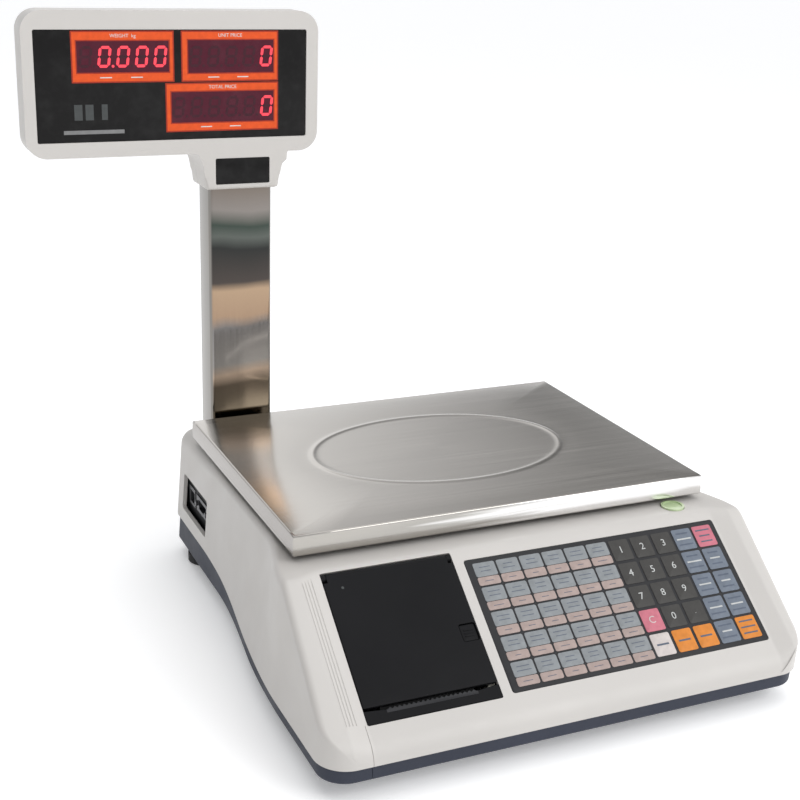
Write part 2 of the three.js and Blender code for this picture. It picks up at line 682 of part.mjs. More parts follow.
place(
  "front_display_board",
  box(-252, -62, FRONT_LED_BACK + GAP, FRONT_LED_BACK + GAP + BOARD, 325, 402),
  "board",
);
place(
  "rear_display_board",
  box(-238, -76, REAR_LED_BACK - GAP - BOARD, REAR_LED_BACK - GAP, 335, 392),
  "board",
);

for (const { name, x, z, digits } of READOUTS) {
  const half = (digits * DIGIT_PITCH) / 2;
  const z0 = z - DIGIT_MODULE.height / 2;
  const z1 = z + DIGIT_MODULE.height / 2;
  const front = box(x - half, x + half, HEAD.front + 3, FRONT_LED_BACK, z0, z1);
  place(`front_led_${name}`, front, "led");
  const mirroredX = 2 * HEAD_MIDDLE_X - x;
  const rear = box(mirroredX - half, mirroredX + half, REAR_LED_BACK, HEAD.back - 3.5, z0, z1);
  place(`rear_led_${name}`, rear, "led");
}

// ---------------------------------------------------------------- keypad

function keyCentres() {
  const centres = [];
  const middleT = (KEYPAD.t0 + KEYPAD.t1) / 2;
  for (let row = 0; row < KEYPAD.rows; row++) {
    for (let column = 0; column < KEYPAD.columns; column++) {
      const x = KEYPAD.middleX + (column - (KEYPAD.columns - 1) / 2) * KEYPAD.pitchX;
      const t = middleT + (row - (KEYPAD.rows - 1) / 2) * KEYPAD.pitchT;
      centres.push({ x, t });
    }
  }
  return centres;
}

function makeOverlay() {
  let sheet = slopeBox(KEYPAD.x0, KEYPAD.x1, KEYPAD.t0, KEYPAD.t1, -0.9, 0);
  for (const { x, t } of keyCentres()) {
    const { halfWidth: halfKey, halfLength, height } = KEY;
    const key = slopeBox(x - halfKey, x + halfKey, t - halfLength, t + halfLength, -height, height);
    sheet = sheet.add(key);
  }
  return sheet;
}

function makeKeypadBoard() {
  let board = slopeBox(KEYPAD.x0 + 2, KEYPAD.x1 - 2, KEYPAD.t0 + 2, KEYPAD.t1 - 2, -5.4, -3.8);
  for (const { x, t } of keyCentres()) {
    board = board.add(slopeBox(x - 3, x + 3, t - 3, t + 3, -4.4, -1.6));
  }
  return board;
}

place("keypad_overlay", makeOverlay(), "film");
place("keypad_board", makeKeypadBoard(), "board");

// ---------------------------------------------------------------- receipt printer

const IDLER_DISTANCE = (GEAR_MODULE * (PLATEN.teeth + IDLER.teeth)) / 2;
const IDLER_AXIS = {
  y: PLATEN.y + IDLER_DISTANCE * Math.cos(IDLER.angle),
  z: PLATEN.z + IDLER_DISTANCE * Math.sin(IDLER.angle),
};
const PINION_DISTANCE = (GEAR_MODULE * (IDLER.teeth + PINION.teeth)) / 2;
const PINION_AXIS = {
  y: IDLER_AXIS.y + PINION_DISTANCE * Math.cos(PINION.angle),
  z: IDLER_AXIS.z + PINION_DISTANCE * Math.sin(PINION.angle),
};

// A spur gear about an X axis. `phase` turns it, counted in teeth from +Y towards +Z.
function makeGear(axis, teeth, phase, boreRadius) {
  const pitchRadius = (GEAR_MODULE * teeth) / 2;
  const tip = pitchRadius + 0.85 * GEAR_MODULE;
  const root = pitchRadius - 1.15 * GEAR_MODULE;
  const points = [];
  for (let tooth = 0; tooth < teeth; tooth++) {
    const outline = [[-0.27, root], [-0.1, tip], [0.1, tip], [0.27, root]];
    for (const [step, radius] of outline) {
      const angle = ((tooth + step + phase) / teeth) * Math.PI * 2;
      points.push([axis.y + radius * Math.cos(angle), axis.z + radius * Math.sin(angle)]);
    }
  }
  const blank = prismX(polygon(points), GEAR_FACE.x0, GEAR_FACE.x1);
  return blank.subtract(rodX(axis.y, axis.z, boreRadius, GEAR_FACE.x0 - 1, GEAR_FACE.x1 + 1, 16));
}

// The phase that puts a tooth (0) or a gap (0.5) of a gear on a line at `angle`.
function phaseFacing(angle, teeth, offset) {
  return (angle / (Math.PI * 2)) * teeth + offset;
}

const PLATEN_PHASE = phaseFacing(IDLER.angle, PLATEN.teeth, 0);
const IDLER_PHASE = phaseFacing(IDLER.angle + Math.PI, IDLER.teeth, 0.5);
const IDLER_AT_PINION = phaseFacing(PINION.angle, IDLER.teeth, 0) - IDLER_PHASE;
const PINION_PHASE = phaseFacing(PINION.angle + Math.PI, PINION.teeth, 0.5 + IDLER_AT_PINION);

const SPINDLE_RIBS = [-139, -54.5];
const PLATEN_CHEEKS = [-131, -63.5];
const HINGE_EAR_RADIUS = 2.5;
// Each ear holds one end of the hinge pin, and its root reaches the bay's side wall.
const HINGE_EARS = [
  { x0: -139.2, x1: -136.3, rootX0: -141, rootX1: -136.3 },
  { x0: -55.2, x1: -52.1, rootX0: -55.2, rootX1: -50 },
];

function makeBay() {
  const { x0, x1, y0, y1, bottom, wall } = BAY;
  const underSkin = prismX(sideProfile(WALL + GAP, 0, 10), x0 - 1, x1 + 1);
  const outer = box(x0, x1, y0, y1, bottom, DECK_Z).intersect(underSkin);
  const inside = box(x0 + wall, x1 - wall, y0 + wall, y1 - wall, bottom + wall, DECK_Z + 1);
  let tub = outer.subtract(inside);
  const spindleHole = ROLL.spindleRadius + SPINDLE.clear;
  for (const ribX of SPINDLE_RIBS) {
    const rib = box(ribX, ribX + 2.5, ROLL.y - 10, ROLL.y + 10, bottom + 1, ROLL.z + 4);
    const slotY0 = ROLL.y - spindleHole;
    const slotY1 = ROLL.y + spindleHole;
    const slot = box(ribX - 1, ribX + 4, slotY0, slotY1, ROLL.z, ROLL.z + 10);
    tub = tub.add(cut(rib, slot, rodX(ROLL.y, ROLL.z, spindleHole, ribX - 1, ribX + 4)));
  }
  for (const cheekX of PLATEN_CHEEKS) {
    const cheek = box(cheekX, cheekX + 2, PLATEN.y - 5, PLATEN.y + 4, bottom + 1, PLATEN.z + 4);
    tub = tub.add(cheek.subtract(rodX(PLATEN.y, PLATEN.z, 1.9, cheekX - 1, cheekX + 3, 16)));
  }
  for (const { x0: earX0, x1: earX1, rootX0, rootX1 } of HINGE_EARS) {
    const ear = slopeRod(HINGE.t, HINGE.n, HINGE_EAR_RADIUS, earX0, earX1);
    const earT0 = HINGE.t - HINGE_EAR_RADIUS;
    const earT1 = HINGE.t + HINGE_EAR_RADIUS;
    const stem = slopeBox(earX0, earX1, earT0, earT1, -14, HINGE.n);
    const root = slopeBox(rootX0, rootX1, earT0, earT1, -14, -7);
    tub = join(tub, ear, stem, root);
  }
  const stud = rodX(IDLER_AXIS.y, IDLER_AXIS.z, 1.5, GEAR_FACE.x0 - 0.5, x1 - 1, 16);
  return cut(
    tub.add(stud),
    slopeRod(HINGE.t, HINGE.n, HINGE.pinRadius + GAP, x0 - 1, x1 + 1, 16),
    rodX(PINION_AXIS.y, PINION_AXIS.z, 1.6, x1 - wall - 1, x1 + 1, 16),
  );
}

function makeDoor() {
  const { x0, x1, t0, t1 } = BUTTON;
  const plate = slopeBox(DOOR.x0, DOOR.x1, DOOR.t0, HINGE.t - 4.2, DOOR.low, DOOR.high);
  const hingeStrip = slopeBox(HINGE.x0, HINGE.x1, HINGE.t - 5, HINGE.t, DOOR.low, DOOR.high);
  const barrel = slopeRod(HINGE.t, HINGE.n, HINGE.barrelRadius, HINGE.x0, HINGE.x1);
  const rib = slopeBox(DOOR.x0 + 4, DOOR.x1 - 18, 60, 62, DOOR.low - 1.8, DOOR.low + 1);
  const buttonHole = slopeBox(x0 - 0.4, x1 + 0.4, t0 - 0.4, t1 + 0.4, -6, 6);
  return cut(
    join(plate, hingeStrip, barrel, rib),
    slopeRod(HINGE.t, HINGE.n, HINGE.pinRadius + GAP, HINGE.x0 - 1, HINGE.x1 + 1, 16),
    buttonHole,
  );
}

function makeButton() {
  const { x0, x1, t0, t1 } = BUTTON;
  const cap = slopeBox(x0, x1, t0, t1, -4, -0.4);
  const flange = slopeBox(x0 - 1.6, x1 + 0.6, t0 - 1.6, t1 + 1.6, -4.4, -2.7);
  const stem = slopeBox(x0 + 3, x0 + 6, t0 + 3, t1 - 3, -8, -4);
  return join(cap, flange, stem);
}

function makeTearBar() {
  const shape = new THREE.Shape();
  shape.moveTo(DOOR.x0, TEAR.t0);
  shape.lineTo(DOOR.x1, TEAR.t0);
  shape.lineTo(DOOR.x1, TEAR.t1);
  for (let x = TEAR.x1; x > TEAR.x0; x -= TEAR.toothPitch) {
    shape.lineTo(x, TEAR.t1 - TEAR.toothDepth);
    shape.lineTo(x - TEAR.toothPitch / 2, TEAR.t1);
  }
  shape.lineTo(TEAR.x0, TEAR.t1 - TEAR.toothDepth);
  shape.lineTo(DOOR.x0, TEAR.t1);
  return slopeSolid(prismZ(shape, -2.6, 0.3));
}

place("printer_bay", makeBay(), "black");
place("printer_cover", makeDoor(), "black");
place("cover_hinge_pin", slopeRod(HINGE.t, HINGE.n, HINGE.pinRadius, -139, -52.3, 16), "steel");
place("cover_release_button", makeButton(), "black");
place("tear_bar", makeTearBar(), "black");

place(
  "platen_roller",
  rodX(PLATEN.y, PLATEN.z, PLATEN.radius, PLATEN.x0, PLATEN.x1).add(
    rodX(PLATEN.y, PLATEN.z, PLATEN.shaftRadius, -133, GEAR_FACE.x1 + 0.1, 16),
  ),
  "rubber",
);
place("platen_gear", makeGear(PLATEN, PLATEN.teeth, PLATEN_PHASE, PLATEN.shaftRadius + GAP), "nylon");
place("idler_gear", makeGear(IDLER_AXIS, IDLER.teeth, IDLER_PHASE, 1.8), "nylon");
place(
  "motor_pinion",
  makeGear(PINION_AXIS, PINION.teeth, PINION_PHASE, 0.6).add(
    rodX(PINION_AXIS.y, PINION_AXIS.z, 1, GEAR_FACE.x0, -42, 12),
  ),
  "nylon",
);

function makeMotor() {
  const { y, z } = PINION_AXIS;
  const can = rodX(y, z, 9, -46.5, -33);
  const flange = box(-48.4, -46, y - 13, y + 13, z - 5, z + 5);
  return cut(join(can, flange), rodX(y, z, 1.4, -50, -41, 12));
}

place("stepper_motor", makeMotor(), "steel");

function makeThermalHead() {
  const { x0, x1, y, z, radius } = PLATEN;
  const floor = BAY.bottom + BAY.wall + GAP;
  const block = box(x0 + 1, x1 - 1, y - 6, y + 6, floor, z - radius - 1.5);
  const ridge = box(x0 + 3, x1 - 3, y - 1, y + 1, floor, z - radius - 0.6);
  return block.add(ridge);
}

place("thermal_head", makeThermalHead(), "aluminium");
place(
  "paper_roll",
  rodX(ROLL.y, ROLL.z, ROLL.radius, ROLL.x0, ROLL.x1, 36).subtract(
    rodX(ROLL.y, ROLL.z, ROLL.core, ROLL.x0 - 1, ROLL.x1 + 1),
  ),
  "paper",
);
place(
  "paper_spindle",
  rodX(ROLL.y, ROLL.z, ROLL.spindleRadius, SPINDLE.x0, SPINDLE.x1, 16),
  "nylon",
);

// ---------------------------------------------------------------- electronics and ports

function makeMainBoard() {
  const z = 20;
  const board = box(-28, 122, -192, -72, z, z + BOARD);
  const chips = [
    [0, 22, -150, -128, 3], [40, 56, -150, -134, 3], [80, 112, -186, -172, 11],
    [-22, -12, -180, -150, 9], [10, 60, -92, -80, 9], [90, 106, -120, -104, 14],
  ];
  const raised = chips.map(([x0, x1, y0, y1, height]) =>
    box(x0, x1, y0, y1, z + 1, z + BOARD + height),
  );
  return join(board, ...raised);
}

function makePowerSupply() {
  const floor = TRAY_BOTTOM_Z + TRAY_FLOOR + GAP;
  const board = box(-70, 8, 50, 126, floor + 2, floor + 3.6);
  const transformer = box(-62, -26, 58, 92, floor + 3, floor + 31);
  const capacitor = rodZ(-8, 74, 8, floor + 3, floor + 26, 16);
  const sink = box(-20, 2, 96, 100, floor + 3, floor + 30);
  const corners = [[-66, 54], [4, 54], [-66, 122], [4, 122]];
  const feet = corners.map(([x, y]) => rodZ(x, y, 3, floor, floor + 3, 12));
  return join(board, transformer, capacitor, sink, ...feet);
}

function makeBattery() {
  const floor = TRAY_BOTTOM_Z + TRAY_FLOOR + GAP;
  const block = box(20, 121, 50, 120, floor, floor + 47);
  const tabs = [60, 110].map((y) => box(120, 127, y - 3, y + 3, floor + 34, floor + 40));
  return join(block, ...tabs);
}

place("main_board", makeMainBoard(), "board");
place("power_supply", makePowerSupply(), "board");
place("battery", makeBattery(), "battery");

function makePortPlate() {
  const { y0, y1, z0, z1, face, plate, margin } = PORTS;
  const sheet = box(face, face + plate, y0 - margin, y1 + margin, z0 - margin, z1 + margin);
  const cutOuts = [SERIAL, NETWORK].map((port) =>
    box(face - 1, face + plate + 1, port.y0, port.y1, port.z0, port.z1),
  );
  return cut(sheet, ...cutOuts);
}

function makeSerialPort() {
  const { y0, y1, z0, z1 } = SERIAL;
  const { face } = PORTS;
  const body = box(face - 0.8, face + 12.8, y0 + GAP, y1 - GAP, z0 + GAP, z1 - GAP);
  const mouth = box(face - 2, face + 5.3, y0 + 6.5, y1 - 6.5, z0 + 3, z1 - 3);
  const nuts = [y0 + 3.4, y1 - 3.4].map((y) =>
    rodX(y, (z0 + z1) / 2, 2.2, face - 2.8, face + 1.8, 6),
  );
  return join(cut(body, mouth), ...nuts);
}

function makeNetworkPort() {
  const { y0, y1, z0, z1 } = NETWORK;
  const { face } = PORTS;
  const body = box(face - 0.6, face + 14.8, y0 + GAP, y1 - GAP, z0 + GAP, z1 - GAP);
  const mouth = box(face - 2, face + 10.8, y0 + 1.7, y1 - 1.7, z0 + 2.5, z1 - 3.2);
  return cut(body, mouth);
}

place("side_port_plate", makePortPlate(), "black");

place("serial_port", makeSerialPort(), "steel");
place("network_port", makeNetworkPort(), "steel");

function makeInlet() {
  const { x0, x1, z0, z1 } = INLET;
  const middle = (x0 + x1) / 2;
  const body = box(x0 + GAP, x1 - GAP, 132, 151, z0 + GAP, z1 - GAP);
  const flange = box(x0 - 8, x1 + 8, BODY.back + GAP, BODY.back + 2.8, z0 - 3, z1 + 3);
  const socket = box(x0 + 2.5, x1 - 2.5, 136, 160, z0 + 3, z1 - 3);
  const pins = [[middle - 7, 52], [middle + 7, 52], [middle, 57]].map(([x, z]) =>
    box(x - 1, x + 1, 135, 147.5, z - 2, z + 2),
  );
  return join(cut(join(body, flange), socket), ...pins);
}

function makeSwitchFrame() {
  const { x0, x1, z0, z1 } = SWITCH;
  const body = box(x0 + GAP, x1 - GAP, 134, 151, z0 + GAP, z1 - GAP);
  const flange = box(x0 - 2, x1 + 2, BODY.back + GAP, BODY.back + 1.8, z0 - 2, z1 + 2);
  const well = box(x0 + 2, x1 - 2, 139, 160, z0 + 1.8, z1 - 1.8);
  return cut(join(body, flange), well);
}

function makeRocker() {
  const { x0, x1, z0, z1, pivotY, tilt } = SWITCH;
  const middle = (z0 + z1) / 2;
  const half = (z1 - z0) / 2 - 2.5;
  const section = polygon([[-5, -half], [2.6, -half], [1.6, 0], [2.6, half], [-5, half]]);
  const geometry = extrude(section, x1 - x0 - 5, 1);
  geometry.translate(0, 0, x0 + 2.5);
  geometry.applyMatrix4(YZ_TO_WORLD);
  geometry.rotateX(-tilt);
  geometry.translate(0, pivotY, middle);
  return solidOf(geometry);
}

place("power_inlet", makeInlet(), "black");
place("switch_frame", makeSwitchFrame(), "black");
place("power_rocker", makeRocker(), "black");

function makeCable() {
  const route = [
    [-36, -100, 26], [-70, -82, 24], [-95, -50, 24], [-106, 0, 24], [-109, 60, 25], [-109, 105, 29],
    [-109, 126, 36], [-109, 132, 60], [-109, 132, 150], [-109, 132, 240], [-109, 132, 318],
  ].map(([x, y, z]) => new THREE.Vector3(x, y, z));
  const section = new THREE.Shape();
  section.absarc(0, 0, 3, 0, Math.PI * 2);
  const geometry = new THREE.ExtrudeGeometry(section, {
    steps: 42,
    curveSegments: 4,
    extrudePath: new THREE.CatmullRomCurve3(route, false, "centripetal"),
  });
  return solidOf(geometry);
}

place("display_cable", makeCable(), "cable");

// ---------------------------------------------------------------- the part's frame

const extent = new THREE.Box3().setFromObject(scale);
scale.position.set(-(extent.min.x + extent.max.x) / 2, -(extent.min.y + extent.max.y) / 2, 0);

const part = new THREE.Group();
part.add(scale);

export default part;
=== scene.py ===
import math
import random

import bmesh
import bpy
from mathutils import Matrix, Vector


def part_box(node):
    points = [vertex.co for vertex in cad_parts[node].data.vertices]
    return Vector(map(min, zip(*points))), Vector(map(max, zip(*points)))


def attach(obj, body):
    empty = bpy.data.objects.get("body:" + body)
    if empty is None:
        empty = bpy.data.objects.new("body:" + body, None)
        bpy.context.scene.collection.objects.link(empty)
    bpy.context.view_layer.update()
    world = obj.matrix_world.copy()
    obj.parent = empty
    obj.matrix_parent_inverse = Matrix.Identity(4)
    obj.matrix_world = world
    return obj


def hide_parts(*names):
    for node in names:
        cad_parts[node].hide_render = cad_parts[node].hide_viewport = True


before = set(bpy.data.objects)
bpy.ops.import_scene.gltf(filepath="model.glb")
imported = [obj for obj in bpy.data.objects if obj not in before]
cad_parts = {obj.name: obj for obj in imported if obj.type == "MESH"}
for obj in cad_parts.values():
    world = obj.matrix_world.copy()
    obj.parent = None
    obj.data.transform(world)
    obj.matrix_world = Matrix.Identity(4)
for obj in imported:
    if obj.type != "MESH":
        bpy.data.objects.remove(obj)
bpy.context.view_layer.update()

# ---------------------------------------------------------------- the body's own frame
# Pieces are drawn in millimetres with X = 0 and Y = 0 at the middle of the pan and Z = 0 on the counter.

MM = 0.001
PAN_LOW, PAN_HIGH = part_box("weighing_pan")
CENTRE = Vector(((PAN_LOW.x + PAN_HIGH.x) / 2, (PAN_LOW.y + PAN_HIGH.y) / 2, 0))
TO_ROW = Matrix.Translation(CENTRE) @ Matrix.Scale(MM, 4)


def box_mm(node):
    """A CAD node's lowest and highest corners in the body's own frame."""
    low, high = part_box(node)
    return (low - CENTRE) / MM, (high - CENTRE) / MM


def middle_mm(node):
    low, high = box_mm(node)
    return (low + high) / 2


CORNERS = ("front_left", "front_right", "back_left", "back_right")


def each(prefix):
    return [prefix + corner for corner in CORNERS]


PAN_TOP = 118.0
SLOPE_ANGLE = math.radians(36.6)
SLOPE_FOOT = (-207.2, 39.9)
SLOPE = Matrix.Translation((0, *SLOPE_FOOT)) @ Matrix.Rotation(SLOPE_ANGLE, 4, "X")

# ---------------------------------------------------------------- camera

CAMERA_AZIMUTH = math.radians(24.56)
CAMERA_ELEVATION = math.radians(18.92)
CAMERA_ROLL = math.radians(1.90)
CAMERA_FROM_PAN_CORNER = Vector((-0.2668, -0.7335, 0.3567))
CAMERA_LENS = 63.05


def make_camera():
    data = bpy.data.cameras.new("camera")
    data.lens = CAMERA_LENS
    data.sensor_width = 36
    data.clip_start = 0.01
    data.clip_end = 100
    camera = bpy.data.objects.new("camera", data)
    bpy.context.scene.collection.objects.link(camera)
    forward = Vector((
        math.sin(CAMERA_AZIMUTH) * math.cos(CAMERA_ELEVATION),
        math.cos(CAMERA_AZIMUTH) * math.cos(CAMERA_ELEVATION),
        -math.sin(CAMERA_ELEVATION),
    ))
    right = forward.cross(Vector((0, 0, 1))).normalized()
    up = right.cross(forward)
    rolled_right = right * math.cos(CAMERA_ROLL) + up * math.sin(CAMERA_ROLL)
    rolled_up = up * math.cos(CAMERA_ROLL) - right * math.sin(CAMERA_ROLL)
    rotation = Matrix((rolled_right, rolled_up, -forward)).transposed().to_4x4()
    corner = Vector((PAN_LOW.x, PAN_LOW.y, PAN_TOP * MM))
    camera.matrix_world = Matrix.Translation(corner + CAMERA_FROM_PAN_CORNER) @ rotation
    bpy.context.scene.camera = camera


make_camera()

# ---------------------------------------------------------------- node materials


class Nodes:
    """A short way to add and link the nodes of one material or world."""

    def __init__(self, owner, surface="Principled BSDF", space="Object"):
        owner.use_nodes = True
        self.owner = owner
        self.tree = owner.node_tree
        self.surface = self.tree.nodes[surface]
        self.texture = self.add("ShaderNodeTexCoord")
        self.coordinates = self.texture.outputs[space]

    def feed(self, target, source):
        """Links an output to an input, or sets a plain value on it."""
        if isinstance(source, bpy.types.NodeSocket):
            self.tree.links.new(source, target)
        else:
            target.default_value = source

    def add(self, kind, inputs=(), **settings):
        node = self.tree.nodes.new(kind)
        for key, value in settings.items():
            setattr(node, key, value)
        for key, source in dict(inputs).items():
            self.feed(node.inputs[key], source)
        return node

    def stretch(self, scale):
        mapping = self.add("ShaderNodeMapping", {"Vector": self.coordinates, "Scale": scale})
        return mapping.outputs["Vector"]

    def noise(self, scale, detail, vector=None):
        inputs = {"Scale": scale, "Detail": detail, "Vector": vector or self.coordinates}
        return self.add("ShaderNodeTexNoise", inputs).outputs["Fac"]

    def ramp(self, value, stops):
        node = self.add("ShaderNodeValToRGB", {"Fac": value})
        elements = node.color_ramp.elements
        while len(elements) < len(stops):
            elements.new(0.5)
        for element, (position, color) in zip(elements, stops):
            element.position = position
            element.color = (*color, 1)
        return node.outputs["Color"]

    def shades(self, value, first, second):
        """A cloudy colour between the two given, from one of the noises."""
        return self.ramp(value, [(0.3, first), (0.7, second)])

    def remap(self, value, low, high, source_low=0.3, source_high=0.7, **settings):
        inputs = {
            "Value": value, "From Min": source_low, "From Max": source_high, "To Min": low, "To Max": high
        }
        return self.add("ShaderNodeMapRange", inputs, **settings).outputs["Result"]

    def multiply_add(self, value, factor, addend=0.0):
        inputs = {0: value, 1: factor, 2: addend}
        return self.add("ShaderNodeMath", inputs, operation="MULTIPLY_ADD").outputs[0]

    def bump(self, height, strength, distance):
        inputs = {"Height": height, "Strength": strength, "Distance": distance}
        self.set(Normal=self.add("ShaderNodeBump", inputs).outputs["Normal"])

    def along(self, axis, vector=None):
        split = self.add("ShaderNodeSeparateXYZ", {"Vector": vector or self.coordinates})
        return split.outputs[axis]

    def facing(self, axis, full=-0.95, none=-0.7):
        """1 on faces that look down the axis, 0 on the others."""
        return self.remap(self.along(axis, self.texture.outputs["Normal"]), 1, 0, full, none)

    def blend(self, factor, first, second):
        """Mixes two colours, given as values or as outputs."""
        node = self.add("ShaderNodeMix", {"Factor": factor}, data_type="RGBA")
        for name, color in (("A", first), ("B", second)):
            target = [i for i in node.inputs if i.name == name and i.type == "RGBA"][0]
            self.feed(target, (*color, 1) if isinstance(color, tuple) else color)
        return [o for o in node.outputs if o.type == "RGBA"][0]

    def set(self, **sources):
        """Feeds the surface node's inputs and gives back the material or world."""
        for key, source in sources.items():
            self.feed(self.surface.inputs[key.replace("_", " ")], source)
        return self.owner


def new_material(name):
    return Nodes(bpy.data.materials.new(name))


def tint(color, factor):
    return tuple(min(1.0, c * factor) for c in color)


def moulded(
    name, color, roughness, grain=2600, bump=0.12, variation=0.06, coat=0.0, shine=0.5, metallic=0.0
):
    """A moulded or cast surface: a fine spark-eroded grain, faint cloudiness and handling marks."""
    nodes = new_material(name)
    nodes.bump(nodes.noise(grain, 2), bump, 0.0002)
    return nodes.set(
        Base_Color=nodes.shades(nodes.noise(9, 5), tint(color, 1 - variation), tint(color, 1 + variation)),
        Roughness=nodes.remap(nodes.noise(38, 6), roughness - 0.06, roughness + 0.08),
        Coat_Weight=coat, Coat_Roughness=0.2, Specular_IOR_Level=shine, Metallic=metallic,
    )


def brushed_sheet(name, color, roughness, scale=(6, 700, 700), bump=0.05, spread=0.08):
    """Long fine scratches along X with slow changes of tone: gives the nodes and their tone."""
    nodes = new_material(name)
    streaks = nodes.noise(1.0, 3, nodes.stretch(scale))
    cloud = nodes.multiply_add(nodes.noise(5, 3), 0.5)
    tone = nodes.shades(nodes.multiply_add(streaks, 0.5, cloud), tint(color, 0.96), tint(color, 1.04))
    nodes.bump(streaks, bump, 0.0001)
    scratches = nodes.remap(streaks, roughness - spread, roughness + spread)
    nodes.set(Base_Color=tone, Roughness=scratches, Metallic=1.0, Anisotropic=0.4)
    return nodes, tone


def brushed(name, color, roughness, scale):
    return brushed_sheet(name, color, roughness, scale)[0].owner


def pan_material():
    """Brushed sheet with painted light: a painted highlight along the front skirt, bright to the right and
    dim at its left end, painted shade on the left skirt, and painted shade on faces that tilt a little
    towards the front, such as the ring's near slope.
    """
    nodes, tone = brushed_sheet("pan_steel", (0.60, 0.57, 0.53), 0.2, bump=0.02, spread=0.04)
    # The front skirt's painted highlight: dim at the left end, bright to the right, broken by streaks.
    streaks = nodes.noise(1, 3, nodes.stretch((7, 7, 260)))
    place = nodes.remap(nodes.multiply_add(streaks, 0.22, nodes.along("X")), 0, 1, 0.03, 0.28)
    skirt = nodes.ramp(place, [
        (0.0, (0.44, 0.42, 0.39)), (0.35, (0.40, 0.385, 0.36)), (0.6, (0.86, 0.85, 0.84)),
        (0.8, (0.80, 0.79, 0.78)),
    ])
    # Painted shade on faces that tilt a little towards the front, such as the near slope of the ring.
    tone = nodes.blend(nodes.facing("Y", -0.16, -0.04), tone, (0.30, 0.285, 0.265))
    # The painted highlight goes on the faces that look to the front.
    tone = nodes.blend(nodes.facing("Y"), tone, skirt)
    # Painted shade on the faces that look to the left, the left skirt.
    tone = nodes.blend(nodes.facing("X"), tone, (0.36, 0.34, 0.32))
    return nodes.set(Base_Color=tone)


def polished(name, color, roughness):
    """Polished tube: nearly a mirror, with drawing lines; its front faces carry painted reflections, soft
    dark and tan stripes of tone along its height, and its other faces keep the plain steel colour.
    """
    nodes = new_material(name)
    lines = nodes.noise(1.0, 3, nodes.stretch((420, 420, 3)))
    # Painted reflections: tone set by height, wavered by a noise, used on the front faces only.
    painted_reflection_height = nodes.multiply_add(nodes.noise(14, 2), 0.022, nodes.along("Z"))
    painted_reflection_bands = nodes.ramp(nodes.remap(painted_reflection_height, 0, 1, 0.131, 0.306), [
        (0.00, (0.12, 0.10, 0.075)), (0.12, (0.10, 0.08, 0.06)), (0.17, (0.40, 0.31, 0.24)),
        (0.22, (0.26, 0.25, 0.24)), (0.38, (0.20, 0.19, 0.185)), (0.425, (0.34, 0.235, 0.16)),
        (0.53, (0.38, 0.27, 0.18)), (0.565, (0.07, 0.06, 0.055)), (0.69, (0.035, 0.036, 0.035)),
        (0.74, (0.10, 0.11, 0.10)), (0.79, (0.05, 0.065, 0.055)), (0.86, (0.22, 0.20, 0.185)),
        (0.97, (0.17, 0.145, 0.125)),
    ])
    nodes.bump(nodes.noise(22, 2, nodes.stretch((1, 1, 0.35))), 0.35, 0.0006)
    return nodes.set(
        Base_Color=nodes.blend(nodes.facing("Y"), color, painted_reflection_bands),
        Roughness=nodes.remap(lines, roughness * 0.7, roughness * 1.5),
        Metallic=1.0,
    )


def gloss(name, color, roughness):
    """Smooth glossy sheet or lens with dust and fine wipe marks."""
    nodes = new_material(name)
    wipe = nodes.noise(1, 4, nodes.stretch((18, 40, 160)))
    dusty = tuple(c + 0.008 for c in color)
    return nodes.set(
        Base_Color=nodes.ramp(nodes.noise(120, 6), [(0.45, color), (0.8, dusty)]),
        Roughness=nodes.remap(wipe, roughness * 0.7, roughness * 1.6),
        Specular_IOR_Level=0.16,
    )


def ink(name, color, roughness):
    """Screen-printed ink: slightly uneven cover over the film's own fine texture."""
    nodes = new_material(name)
    cover = nodes.noise(260, 4)
    nodes.bump(nodes.noise(3200, 1), 0.08, 0.0001)
    return nodes.set(
        Base_Color=nodes.shades(cover, tint(color, 0.9), tint(color, 1.08)),
        Roughness=nodes.remap(cover, roughness - 0.05, roughness + 0.07),
        Specular_IOR_Level=0.22,
    )


def glowing(name, color, strength, unlit):
    """A lit segment: its glow is a little uneven, as an LED light pipe's is."""
    nodes = new_material(name)
    return nodes.set(
        Emission_Color=nodes.shades(nodes.noise(420, 2), tint(color, 0.85), color),
        Emission_Strength=strength, Base_Color=(*unlit, 1), Roughness=0.3,
    )


def rubber(name, color):
    return moulded(name, color, 0.82, grain=1500, bump=0.3, variation=0.15)


WHITE = moulded("white_plastic", (0.535, 0.513, 0.487), 0.42, grain=2400, bump=0.1, variation=0.025)
SLATE = moulded("slate_plastic", (0.032, 0.037, 0.055), 0.5, bump=0.16, variation=0.12, shine=0.25)
BLACK = moulded(
    "black_plastic", (0.007, 0.007, 0.008), 0.46, grain=1900, bump=0.2, variation=0.2, shine=0.1
)
PAN_STEEL = pan_material()
COLUMN_STEEL = polished("column_steel", (0.235, 0.222, 0.205), 0.09)
ZINC = brushed("zinc_steel", (0.55, 0.55, 0.56), 0.38, (90, 90, 90))
PORT_SHELL = brushed("port_shell", (0.13, 0.13, 0.135), 0.4, (90, 90, 90))
CAST = moulded(
    "cast_aluminium", (0.42, 0.43, 0.44), 0.5, grain=900, bump=0.35, variation=0.08, metallic=0.9
)
RUBBER = rubber("foot_rubber", (0.022, 0.022, 0.023))
WINDOW = gloss("smoked_window", (0.006, 0.0055, 0.0055), 0.16)
BOARD = moulded("circuit_board", (0.02, 0.12, 0.06), 0.4, grain=700, bump=0.3, variation=0.2, coat=0.3)
NYLON = moulded("nylon", (0.72, 0.70, 0.62), 0.5, variation=0.05)
CASE = moulded("battery_case", (0.03, 0.032, 0.036), 0.55, variation=0.15)
CABLE = rubber("cable_jacket", (0.018, 0.018, 0.019))
LED_FACE = moulded("led_module_case", (0.10, 0.02, 0.03), 0.4)
